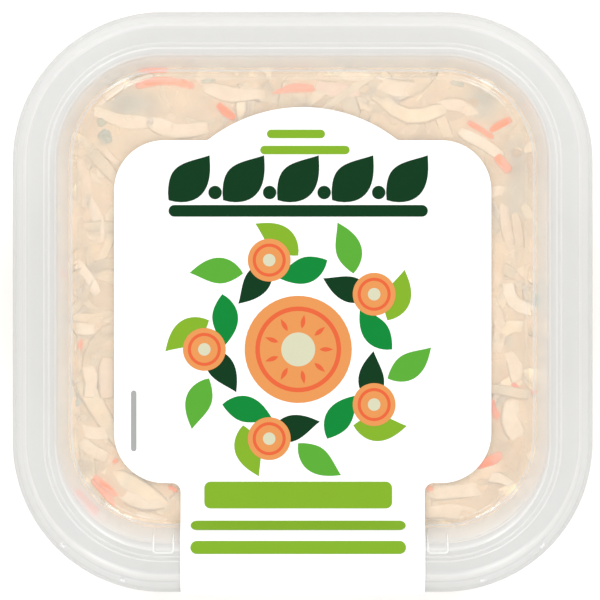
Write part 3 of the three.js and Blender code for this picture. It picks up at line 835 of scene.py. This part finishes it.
carrot = moist_food("carrot", CARROT, CARROT_DEEP, 300, 1500, 0.4, 0.15, (1.2, 0.8, 0.5))
top_sticks = set_by_hand(carrot_pieces(len(SHOWN_CARROTS)), SHOWN_CARROTS,
                         ("x", "y", "length", "heading", "curl", "width", "depth"))
add_strips("carrot_sticks_top", lay_on_top, top_sticks, SQUARE_SECTION, carrot_tints(len(SHOWN_CARROTS)),
           ON_CARROT, np.full(len(SHOWN_CARROTS), -0.02), carrot, "carrot")
strew_hidden(("carrot_sticks_side", "carrot_sticks_base"), carrot_pieces, (70, 28), 44, 46,
             SQUARE_SECTION, carrot_tints, ON_CARROT, 0.1, carrot, "carrot")

# ---------------------------------------------------------------------------------------------
# Slaw, its green bits: scraps of the outer leaves, a few millimetres across and half sunk.

SIDE_SCRAPS = 26
LEAF_GREEN = display_colour(150, 168, 150)
LEAF_DEEP = display_colour(132, 152, 134)
ON_LEAF = (np.array(DRESSING[:3]) / LEAF_GREEN[:3], 0.35)
SCRAP_TONES = {"olive": (180, 176, 146), "sage": (187, 185, 167), "teal": (144, 159, 149)}
# The scraps that show from above: x, y, length, heading in degrees, curl, width, tone
SHOWN_SCRAPS = [
    (-45.0, 40.3, 2.6, 20, 0.5, 2.0, "olive"), (-44.2, 37.0, 3.2, -60, -0.4, 3.0, "teal"),
    (34.6, 48.9, 3.0, -12, 0.2, 1.2, "sage"), (-21.1, 49.6, 3.2, 5, 0.2, 1.0, "sage"),
    (52.6, 0.4, 2.6, 80, 0.2, 1.5, "teal"), (-50.3, -22.5, 2.0, 75, 0.3, 1.2, "sage"),
]
green_leaf = moist_food("green_leaf", LEAF_GREEN, LEAF_DEEP, 320, 1300, 0.4, 0.2, (0.8, 0.9, 0.5))
top_scraps = set_by_hand(cabbage_pieces(len(SHOWN_SCRAPS)), SHOWN_SCRAPS)
top_scraps["depth"][:] = 0.22
scrap_tints = own_tints(SHOWN_SCRAPS, SCRAP_TONES, LEAF_GREEN)
add_strips("green_scraps_top", lay_on_top, top_scraps, FLAT_SECTION, scrap_tints, ON_LEAF,
           np.full(len(SHOWN_SCRAPS), -0.01), green_leaf, "cabbage")
side_scraps = cabbage_pieces(SIDE_SCRAPS)
side_scraps["length"] = draw.uniform(1.5, 4, SIDE_SCRAPS)
side_scraps["width"] = draw.uniform(0.8, 2, SIDE_SCRAPS)
set_round_wall(side_scraps, 4, 43)
add_strips("green_scraps_side", lay_on_wall, side_scraps, FLAT_SECTION, dressed_tints(SIDE_SCRAPS),
           ON_LEAF, np.full(SIDE_SCRAPS, -0.03), green_leaf, "cabbage")

# ---------------------------------------------------------------------------------------------
# Slaw, its loose dressing: a creamy film that the pressed slaw leaves on the wall, the base and the
# plate, just in their faces so that no air shows behind them, and the pool between upper shreds.

SMEAR_REACH = 0.08
SMEAR_COLOURS = (display_colour(243, 220, 187), display_colour(236, 211, 177))
POOL_BELOW = 0.2
POOL_FOOT = 43.5
POOL_MIDDLE = 31.0
POOL_ROWS = 44
POOL_COLOURS = (display_colour(242, 213, 175), display_colour(233, 202, 162))
# Painted shade: what the pool's tint loses in the hollows
POOL_SHADE_IN_HOLLOWS = (0.44, 0.24, -0.02)
POOL_BY_CARROTS = (-0.03, 0.16, 0.30)
POOL_WHERE_WARM = (0.01, 0.035, 0.065)
STAIN_REACH = 1.9


def smeared_dressing(name, colours, thin, thick):
    """A veil of dressing, in patches thinner and thicker, as its alpha."""
    material, tree, shader = new_material(name, {"Roughness": 0.4, "Specular IOR Level": 0.2})
    pattern = add_node(tree, "Group", {"Broad": 130, "Fine": 500}, node_tree=moist_mottle)
    feed(tree, shader, {
        "Base Color": times_tint(tree, mix_colours(tree, pattern.outputs["Specks"], *colours)),
        "Alpha": spread(tree, pattern.outputs["Patches"], thin, thick, 0.35, 0.65),
    })
    return material


def carrot_stain(x, y):
    """How near a place is to a shown carrot stick, from 0 to 1: a bell about its middle line."""
    heading = np.radians(SHOWN_CARROTS[:, 3])
    dx, dy = x[..., None] - SHOWN_CARROTS[:, 0], y[..., None] - SHOWN_CARROTS[:, 1]
    along = dx * np.cos(heading) + dy * np.sin(heading)
    across = dy * np.cos(heading) - dx * np.sin(heading)
    past = np.maximum(np.abs(along) - SHOWN_CARROTS[:, 2] / 2, 0)
    return np.clip(np.exp(-(past ** 2 + across ** 2) / STAIN_REACH ** 2).sum(axis=-1), 0, 1)


def less(share, tint):
    """What a share of each place leaves of white when it takes the tint away."""
    return 1 - share[..., None] * tint


def make_pool():
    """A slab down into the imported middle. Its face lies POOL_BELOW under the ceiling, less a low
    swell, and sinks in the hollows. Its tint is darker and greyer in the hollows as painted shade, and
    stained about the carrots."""
    inset = np.linspace(10.6, POOL_MIDDLE, POOL_ROWS)
    level = np.interp(inset, CEILING_INSET, CEILING) - POOL_BELOW
    around = stations(56, 60)
    face = carry(np.column_stack([inset, level, np.full(POOL_ROWS, FRONT_TUB)]), around)
    foot = carry(np.array([(s, POOL_FOOT, FRONT_TUB) for s in (POOL_MIDDLE, 10.9)]), around)
    hollow = hollow_share(face[..., 0], face[..., 1])
    face[..., 2] -= 0.07 * (1 + lumps(face, 5, 14)) + 0.7 * hollow
    stain = 0.85 * carrot_stain(face[..., 0], face[..., 1])
    warm = np.clip(0.5 + 0.6 * lumps(face, 9, 26), 0, 1)
    tints = less(hollow, POOL_SHADE_IN_HOLLOWS) * less(stain, POOL_BY_CARROTS) * less(warm, POOL_WHERE_WARM)
    points, faces = closed_rings(np.concatenate([foot, face]))
    pool = add_mesh("dressing_pool", points, faces)
    every = np.ones((len(points), 3))
    every[foot.size // 3:-2] = tints.reshape(-1, 3)
    tint_mesh(pool, every)
    fasten(pool, "cabbage", smeared_dressing("dressing_pool", POOL_COLOURS, 0.5, 0.86))


def make_smear():
    """A closed film SMEAR_REACH outside the slaw's free space: the base, the wall and the top."""
    base = [(s, SLAW_FLOOR - SMEAR_REACH, FRONT_TUB) for s in (31.0, 18.0)]
    wall = [(wall_reach(z) - SMEAR_REACH, z, FRONT_TUB) for z in (3.0, 4.0, 5.0, 6.3, 15, 25, 35, 44.5)]
    top_inset = (11.0, 12.2, 13.0, 14.1, 15.1, 20.0, 31.0)
    top = [(s, np.interp(s, CEILING_INSET, CEILING) + SMEAR_REACH, FRONT_TUB) for s in top_inset]
    points, faces = closed_rings(carry(np.array(base + wall + top), stations(24, 12)))
    smear = add_mesh("dressing_smear", points, faces)
    tint_mesh(smear, np.ones((len(points), 3)))
    fasten(smear, "cabbage", smeared_dressing("dressing_smear", SMEAR_COLOURS, 0.11, 0.36))


make_smear()
make_pool()

# ---------------------------------------------------------------------------------------------
# Lid: thermoformed from clear polypropylene 0.6 mm thick: a skirt with a small hem, a shoulder, a
# rim with a fine groove, a sunk wall, a moat and the plate, and at the front a low ledge.

LID_SHEET = 0.6
SKIRT_FOOT = 44.6
RIM_TOP = 52
PLATE_TOP = 46.6
SHOULDER = 3.6
GROOVE_INSET = 7.3
RIM_INNER = 10
PLATE_EDGE = 14.8
LEDGE_EDGE = (RIM_INNER + 0.3, RIM_TOP - 0.35, 1.1)
WALL_FOOT = (PLATE_EDGE - 2, PLATE_TOP + 0.5, 2.0)
PLATE_SHADE = (0.90, 0.90, 0.895, 1)
WALL_SHADE = (0.775, 0.797, 0.807, 1)
WALL_TOP_SHADE = (0.87, 0.89, 0.9, 1)
# The rim's haze is painted a darker grey than the plate's: painted shade for the shade under the rim
# that shows through it. The bends' tones are paler than their neighbours: painted highlight lines,
# beside the coat's real gloss.
RIM_PAINTED_SHADE = (0.635, 0.64, 0.63, 1)
BEND_HIGHLIGHT_TONE = (0.73, 0.73, 0.72, 1)
BROW_HIGHLIGHT_TONE = (0.76, 0.76, 0.75, 1)
FOOT_HIGHLIGHT_TONE = (0.9, 0.9, 0.89, 1)
PLATE, WALL, RIM, BEND, FOOT, BROW, RISE = range(7)
# Where the sheet bends, with its haze painted paler as a highlight line beside the coat's own gloss: its
# zone and the insets it lies between
HIGHLIGHT_BENDS = ((BEND, 2.7, 3.4), (BEND, 7.15, 7.55), (BEND, 8.2, 8.6), (FOOT, 12.55, 12.9),
         (BROW, 9.72, 10.04), (BROW, 10.26, 10.48), (RISE, 13.9, 15.2))


def lid_plastics():
    """The lid's plastic in each zone, in the zones' order: hazier than the plate on the rim and at the
    bends; the rim's haze painted darker grey as shade, and the bends' haze painted paler than their
    neighbours as highlight lines.
    """
    rise = (PLATE_TOP, RIM_TOP, WALL_TOP_SHADE)
    return (
        clear_plastic("plate_plastic", PLATE_SHADE, 0.88, 45, 0.05, 0.006),
        clear_plastic("wall_plastic", WALL_SHADE, 0.665, 45, 0.12, 0.008, rise),
        clear_plastic("rim_shaded_plastic", RIM_PAINTED_SHADE, 0.6, 30, 0.3, 0.004),
        clear_plastic("bend_highlight_plastic", BEND_HIGHLIGHT_TONE, 0.6, 30, 0.32, 0.004),
        clear_plastic("foot_highlight_plastic", FOOT_HIGHLIGHT_TONE, 0.78, 45, 0.05, 0.004),
        clear_plastic("brow_highlight_plastic", BROW_HIGHLIGHT_TONE, 0.6, 30, 0.24, 0.004),
        clear_plastic("rise_highlight_plastic", FOOT_HIGHLIGHT_TONE, 0.84, 45, 0.26, 0.004),
    )


def make_lid():
    """The upper face from the skirt's hem over the rim and down to the plate's middle, closed by
    its own offset as the lower face, with each ring of faces in its zone's plastic."""
    face = np.array([
        (0, SKIRT_FOOT, 0),
        (0, SKIRT_FOOT + 0.7, 0),
        (0.9, SKIRT_FOOT + 1.3, 0),
        (SHOULDER - 1.1, RIM_TOP - 1.4, 0),
        (SHOULDER - 0.7, RIM_TOP - 0.5, 1 / 3),
        (SHOULDER, RIM_TOP, 1),
        (GROOVE_INSET, RIM_TOP, -0.2),
        (GROOVE_INSET + 0.2, RIM_TOP - 0.2, -0.2),
        (GROOVE_INSET + 1, RIM_TOP - 0.2, -0.2),
        (GROOVE_INSET + 1.2, RIM_TOP, -0.2),
        (RIM_INNER - 0.3, RIM_TOP, -0.2),
        (RIM_INNER, RIM_TOP - 0.2, -0.2),
        LEDGE_EDGE,
        (RIM_INNER + 0.5, RIM_TOP - 1, 1.1),
        WALL_FOOT,
        (PLATE_EDGE - 1.5, PLATE_TOP - 0.15, 2.0),
        (PLATE_EDGE - 0.7, PLATE_TOP - 0.4, 1.6),
        (PLATE_EDGE, PLATE_TOP, 1.4),
        (31.5, PLATE_TOP, 1.4),
    ])
    profile = np.vstack([offset_profile(face, LID_SHEET)[::-1], face])
    rows, around = soften(profile, 0.5), stations(28, 8)
    lid = add_mesh("lid_shell", *closed_rings(carry(rows, around)))
    inset = (rows[1:, 0] + rows[:-1, 0]) / 2
    zone = np.select([inset < LEDGE_EDGE[0], inset < PLATE_EDGE - 1.4], [RIM, WALL], PLATE)
    for bend, near, far in HIGHLIGHT_BENDS:
        zone[(inset > near) & (inset < far)] = bend
    ends = np.full(2 * around.shape[1], PLATE)
    zones = np.append(np.repeat(zone, around.shape[1]), ends).astype(np.int32)
    fasten(lid, "clear_plastic", *lid_plastics(), stands_for="lid")
    lid.data.polygons.foreach_set("material_index", zones)


make_lid()

# ---------------------------------------------------------------------------------------------
# Guide beads and catches: moulded in one with the lid. A U of beads stands on both sides of the
# label's tongue, and small catches on the skirt by the front corners.

BEAD = 0.5
BEAD_CENTRES = (-31.05, 30.1)
BEAD_HALF_SPAN = 2.2
BEAD_FRONT = -55.9
BEAD_FOOT = 47.6
BEAD_SHADE = (0.9, 0.9, 0.895, 1)
CATCH_DEGREES = (46, 74)


def tube(path, radius):
    """A round tube along a path: rings square to the run, closed by fans at both ends."""
    run = np.gradient(path, axis=0)
    run /= np.linalg.norm(run, axis=1)[:, None]
    side = np.cross(run, (0.3, 0.2, 1.0))
    side /= np.linalg.norm(side, axis=1)[:, None]
    up = np.cross(side, run)
    turn = np.linspace(0, 2 * math.pi, 10, endpoint=False)[None, :, None]
    spokes = np.cos(turn) * side[:, None] + np.sin(turn) * up[:, None]
    ends = np.ones((len(path), 1, 1))
    ends[[0, -1]] = 0.4
    return closed_rings(path[:, None] + radius * ends * spokes)


def on_front(inset, z, front):
    """A point of the lid's profile at its front, as (y, z)."""
    return np.array([inset + front - HALF_SIDE, z])


def guide_bead(centre):
    """The path up the sunk wall, over the ledge, across the rim and back, with rounded bends."""
    left, right = centre - BEAD_HALF_SPAN, centre + BEAD_HALF_SPAN
    share = (BEAD_FOOT - WALL_FOOT[1]) / (LEDGE_EDGE[1] - WALL_FOOT[1])
    foot, edge = on_front(*WALL_FOOT), on_front(*LEDGE_EDGE)
    low = foot + share * (edge - foot)
    corners = [(left, *low), (left, *edge), (left, BEAD_FRONT, RIM_TOP),
               (right, BEAD_FRONT, RIM_TOP), (right, *edge), (right, *low)]
    return soften(np.array(corners), 0.7, 6)


def join(parts):
    """Points and faces of several (points, faces) in one mesh."""
    starts = np.cumsum([0] + [len(points) for points, _ in parts[:-1]])
    faces = [[p + start for p in face] for (_, made), start in zip(parts, starts) for face in made]
    return np.vstack([points for points, _ in parts]), faces


bead_plastic = clear_plastic("bead_plastic", BEAD_SHADE, 0.6, 45, 0.14, 0.01)
bead_tubes = [tube(guide_bead(centre), BEAD / 2) for centre in BEAD_CENTRES]
fasten(add_mesh("lid_guide_beads", *join(bead_tubes)), "clear_plastic", bead_plastic)


def skirt_catch(side, degrees):
    """A rounded lug on the skirt: a superellipsoid leaning with the skirt's face."""
    turn = np.linspace(0, 2 * math.pi, 16, endpoint=False)[None, :]
    rise = np.linspace(-QUARTER, QUARTER, 9)[:, None]

    def eased(value):
        return np.sign(value) * np.abs(value) ** 0.6

    along = 0.7 * eased(np.cos(rise)) * eased(np.cos(turn))
    out = 0.35 * eased(np.cos(rise)) * eased(np.sin(turn))
    up = 0.9 * eased(np.sin(rise)) + 0 * turn
    angle = math.radians(degrees)
    reach = CORNER_R - 1.7 + out - 0.3 * up
    x = FLAT + reach * math.cos(angle) - along * math.sin(angle)
    y = -FLAT - reach * math.sin(angle) - along * math.cos(angle)
    rings = np.stack([x, y, (SKIRT_FOOT + RIM_TOP) / 2 + up], axis=-1)[:, ::-1]
    if side < 0:
        rings = rings[:, ::-1] * np.array([-1, 1, 1])
    return closed_rings(rings)


catches = [skirt_catch(side, degrees) for side in (-1, 1) for degrees in CATCH_DEGREES]
fasten(add_mesh("lid_catches", *join(catches)), "clear_plastic", bead_plastic)

# ---------------------------------------------------------------------------------------------
# Label: one die-cut sheet of coated paper, glued to the plate, with a crown at the back and a
# tongue that runs up over the front rim and down to the tub's wall as a seal.

LABEL_SHEET = 0.25
LABEL_GAP = 0.25
BODY_HALF = 42.2
BODY_BACK = 36.2
BODY_FRONT = -40.5
BODY_R = 11.2
CROWN_TOP = 43.6
CROWN_R = 34.3
CROWN_FILLET = 1.6
TONGUE_HALF = 27.3
TONGUE_FILLET = 2
TONGUE_END_R = 3
LABEL_OFF_PLATE = -47.6
LABEL_ON_RIM = -53
LABEL_OFF_RIM = -61.9
LABEL_ON_WALL = (35, 17)
PAPER_SHADES = ((0.90, 0.90, 0.895, 1), (0.875, 0.875, 0.87, 1))
PAPER_PASSES = (0.78, 0.78, 0.77, 1)
# The side that the label's face looks to everywhere: up and to the front
LABEL_FACES = (0.0, -0.4, 1.0)


def label_run():
    """The inner face's run in (y, z): flat on the plate, up to the rim, over it, down past the
    skirt and back to the tub's wall, with rounded bends."""
    clear = LABEL_GAP + 0.05
    skirt_y = -HALF_SIDE - clear
    wall_y = [wall_inset(z) + FRONT_TUB - HALF_SIDE - clear for z in LABEL_ON_WALL]
    corners = np.array([
        (CROWN_TOP, PLATE_TOP + LABEL_GAP),
        (LABEL_OFF_PLATE, PLATE_TOP + LABEL_GAP),
        (LABEL_ON_RIM, RIM_TOP + LABEL_GAP),
        (LABEL_OFF_RIM, RIM_TOP + LABEL_GAP),
        (skirt_y, SKIRT_FOOT + 1.6),
        (skirt_y, SKIRT_FOOT - 0.4),
        (wall_y[0], LABEL_ON_WALL[0]),
        (wall_y[1], LABEL_ON_WALL[1]),
    ])
    return soften(corners, 1.6, 8)


run_inner = label_run()
run_outer = offset_profile(run_inner, LABEL_SHEET)
run_length = np.append(0, np.cumsum(np.linalg.norm(np.diff(run_inner, axis=0), axis=1)))


def on_label(x, y, lift=0.0):
    """A place on the label's outer face from flat x and y: the run from the crown's top is its y
    turned round, and lift is how far it stands off the paper."""
    run = CROWN_TOP - y
    share = 1 + lift / LABEL_SHEET
    out_y, out_z = (inner + share * (outer - inner) for inner, outer in zip(run_inner.T, run_outer.T))
    return np.stack([x, np.interp(run, run_length, out_y), np.interp(run, run_length, out_z)], axis=-1)


def label_rows():
    """Rows of (run, half width) down the flat label: crown arc, fillet, back corners, front
    corners, fillet to the tongue, and the tongue's rounded end."""
    crown_y = CROWN_TOP - CROWN_R
    fillet_y = BODY_BACK + CROWN_FILLET
    fillet_x = math.sqrt((CROWN_R + CROWN_FILLET) ** 2 - (fillet_y - crown_y) ** 2)
    meet = math.atan2(fillet_x, fillet_y - crown_y)
    corner_x = BODY_HALF - BODY_R
    notch_x = TONGUE_HALF + TONGUE_FILLET
    tip_y = CROWN_TOP - run_length[-1]
    crown = np.linspace(0.02, meet, 30)
    fillet = np.linspace(meet, 0, 6)[1:]
    back = np.linspace(0.02, QUARTER, 20)
    front = back[::-1]
    notch = np.linspace(0.1, QUARTER, 8)
    end = np.linspace(0, QUARTER, 8)
    arcs = [
        (crown_y + CROWN_R * np.cos(crown), CROWN_R * np.sin(crown)),
        (fillet_y - CROWN_FILLET * np.cos(fillet), fillet_x - CROWN_FILLET * np.sin(fillet)),
        (BODY_BACK - BODY_R * (1 - np.cos(back)), corner_x + BODY_R * np.sin(back)),
        (BODY_FRONT + BODY_R * (1 - np.cos(front)), corner_x + BODY_R * np.sin(front)),
        (BODY_FRONT - TONGUE_FILLET * (1 - np.cos(notch)), notch_x - TONGUE_FILLET * np.sin(notch)),
        (tip_y + TONGUE_END_R * (1 - np.sin(end)), TONGUE_HALF - TONGUE_END_R * (1 - np.cos(end))),
    ]
    run, half = np.hstack(arcs)
    run = CROWN_TOP - run
    bends = run_length[1:-1]
    every = np.column_stack([np.append(run, bends), np.append(half, np.interp(bends, run, half))])
    return every[np.argsort(every[:, 0], kind="stable")]


def add_film(name, grids, thickness, material, slot, stands_for=None):
    """Flat fields, each a grid of places on the label, joined into one mesh with its seams
    welded, and made a closed film by Solidify."""
    parts = []
    for grid in grids:
        rows, columns = grid.shape[:2]
        row, column = np.meshgrid(np.arange(rows - 1), np.arange(columns - 1), indexing="ij")
        here = (row * columns + column).ravel()
        quads = np.stack([here, here + columns, here + columns + 1, here + 1], axis=1)
        parts.append((grid.reshape(-1, 3), quads.tolist()))
    piece = add_mesh(name, *join(parts), smooth=False)
    made = bmesh.new()
    made.from_mesh(piece.data)
    bmesh.ops.remove_doubles(made, verts=made.verts, dist=1e-7)
    made.normal_update()
    turned = [face for face in made.faces if face.normal.dot(LABEL_FACES) < 0]
    bmesh.ops.reverse_faces(made, faces=turned)
    made.to_mesh(piece.data)
    made.free()
    film = piece.modifiers.new("film", "SOLIDIFY")
    film.thickness = thickness * MM
    film.offset = -1
    fasten(piece, slot, material, stands_for=stands_for)


def paper_group():
    """Paper: fine fibres as a bump height, and a slow cloudiness as a mask."""
    group, _, leave = new_group("paper_fibre", (), ("Height", "Cloud"))
    feed(group, leave, {"Height": noise(group, 2600, 4), "Cloud": noise(group, 120)})
    return group


paper_fibre = paper_group()


def printed(name, colour, worn, gloss):
    """Coated paper or ink on it: a colour that goes over to the worn one in clouds, above the
    paper's fibres. Most lamp light passes through to what is below, as round a small label."""
    material, tree, shader = new_material(name, {"Roughness": 0.42, "Specular IOR Level": gloss})
    pattern = add_node(tree, "Group", node_tree=paper_fibre)
    feed(tree, shader, {
        "Base Color": mix_colours(tree, pattern.outputs["Cloud"], colour, worn),
        "Normal": relief(tree, pattern.outputs["Height"], 0.12, 0.02),
    })
    let_through(tree, shader, PAPER_PASSES, ("Is Shadow Ray",))
    return material


outline = label_rows()
columns = np.linspace(-1, 1, 25)
label_grid = on_label(outline[:, 1:] * columns, CROWN_TOP - outline[:, :1] + 0 * columns)
paper = printed("coated_paper", *PAPER_SHADES, 0.5)
add_film("label_sheet", [label_grid], LABEL_SHEET, paper, "label_paper", stands_for="label")

# ---------------------------------------------------------------------------------------------
# Print: flat inks on the label. A garland of leaves with round slices, plain bars where lines of
# words would stand, and no lettering.

INK = 0.015
FIRST_LIFT = 0.02
LIFT_STEP = 0.0022
SHADE = 0.62
WORN = 0.95
GARLAND = (-1.0, -10.6)
GARLAND_R = 21.0
INK_SHADES = {
    "dark": (0, 62, 26), "green": (0, 150, 60), "bright": (100, 190, 60), "lime": (146, 196, 46),
    "orange": (255, 168, 96), "flame": (255, 113, 67), "cream": (238, 238, 205), "grey": (190, 192, 190),
}
inks = {name: [] for name in INK_SHADES}


def ink_colour(red, green, blue):
    """A display colour as it has to be under the studio's light: darker by the light's share."""
    linear = np.array(display_colour(red, green, blue)[:3]) * SHADE
    return (*linear.tolist(), 1.0)


def leaf(lift, x, y, length, width, degrees, bend=0.0):
    """A pointed leaf: half width sin(pi t^0.85), along a middle line whose heading turns by bend."""
    t = np.linspace(0, 1, 17)
    heading = math.radians(degrees) + bend * (t - 0.5)
    step = length / (len(t) - 1)
    along_x = x + np.concatenate([[0], np.cumsum(step * np.cos(heading[:-1]))])
    along_y = y + np.concatenate([[0], np.cumsum(step * np.sin(heading[:-1]))])
    half = np.maximum(width / 2 * np.sin(math.pi * t ** 0.85), 0.03)[:, None] * np.linspace(-1, 1, 5)
    return on_label(along_x[:, None] - half * np.sin(heading)[:, None],
                    along_y[:, None] + half * np.cos(heading)[:, None], lift)


def disc(lift, x, y, inner, outer):
    """A round field between two radii."""
    angle = np.radians(np.linspace(0, 360, 48))[:, None]
    radius = np.linspace(max(inner, 0.02), outer, 4)
    return on_label(x + radius * np.cos(angle), y + radius * np.sin(angle), lift)


def bar(lift, x, y, width, height, radius=None):
    """A bar with round ends: its half width falls off as a circle near both ends."""
    radius = min(width, height) / 2 if radius is None else radius
    ends = radius * (1 - np.cos(np.linspace(0, QUARTER, 7)))
    steps = np.linspace(-1, 1, 9 + int(height))[1:-1] * (height / 2 - radius)
    across = np.concatenate([ends - height / 2, steps, (height / 2 - ends)[::-1]])
    past = np.maximum(np.abs(across) - (height / 2 - radius), 0)
    half = width / 2 - radius + np.sqrt(np.maximum(radius ** 2 - past ** 2, 1e-4))
    return on_label(x + half[:, None] * np.linspace(-1, 1, 9), y + across[:, None] + np.zeros(9), lift)


def put(ink, field, *sizes):
    """One field in one ink, a little higher than all the fields before it."""
    lift = FIRST_LIFT + LIFT_STEP * sum(len(fields) for fields in inks.values())
    inks[ink].append(field(lift, *sizes))


def round_garland(radius, degrees):
    """A place about the garland's middle, as (x, y)."""
    angle = math.radians(degrees)
    return GARLAND[0] + radius * math.cos(angle), GARLAND[1] + radius * math.sin(angle)


def slice_at(x, y, size, ring, middle):
    """A round slice: its flesh, a thin ring between two radii and its middle."""
    put("orange", disc, x, y, 0, size)
    put("flame", disc, x, y, *ring)
    put("cream", disc, x, y, 0, middle)


for k in range(20):
    lean = 36 if k % 2 else -36
    leaf_ink = ("green", "lime", "dark", "bright")[k % 4]
    put(leaf_ink, leaf, *round_garland(GARLAND_R, 18 * k), 12, 5.8, 18 * k + 90 - lean, 0.011 * lean)
for k in range(5):
    slice_at(*round_garland(GARLAND_R, 36 + 72 * k), 4.8, (3.0, 3.7), 1.4)
slice_at(*GARLAND, 12.0, (8.6, 9.6), 3.8)
for k in range(9):
    put("flame", leaf, *round_garland(4.8, 40 * k), 3.0, 1.0, 40 * k)
for k in range(5):
    put("dark", leaf, -30.0 + 12.2 * k, 22.8, 13.6, 8.2, 48, 0.3)
for k in range(4):
    put("dark", disc, -19.6 + 12.2 * k, 24.5, 0, 1.5)
put("dark", bar, -1, 20.4, 58, 2.6)
put("lime", bar, -1.5, 37.6, 13, 1.9)
put("lime", bar, 0.5, 34.0, 20, 1.9)
put("lime", bar, -1, -43.2, 42, 6.0, 1.4)
put("lime", bar, -1, -51.0, 48, 2.8)
put("lime", bar, -1, -56.6, 48, 2.8)
put("grey", bar, -37.8, -26.6, 1.2, 13.6)
for name, fields in inks.items():
    ink = ink_colour(*INK_SHADES[name])
    worn = (*(WORN * share for share in ink[:3]), 1)
    add_film(f"ink_{name}", fields, INK, printed(f"ink_{name}", ink, worn, 0.1), "label_ink")
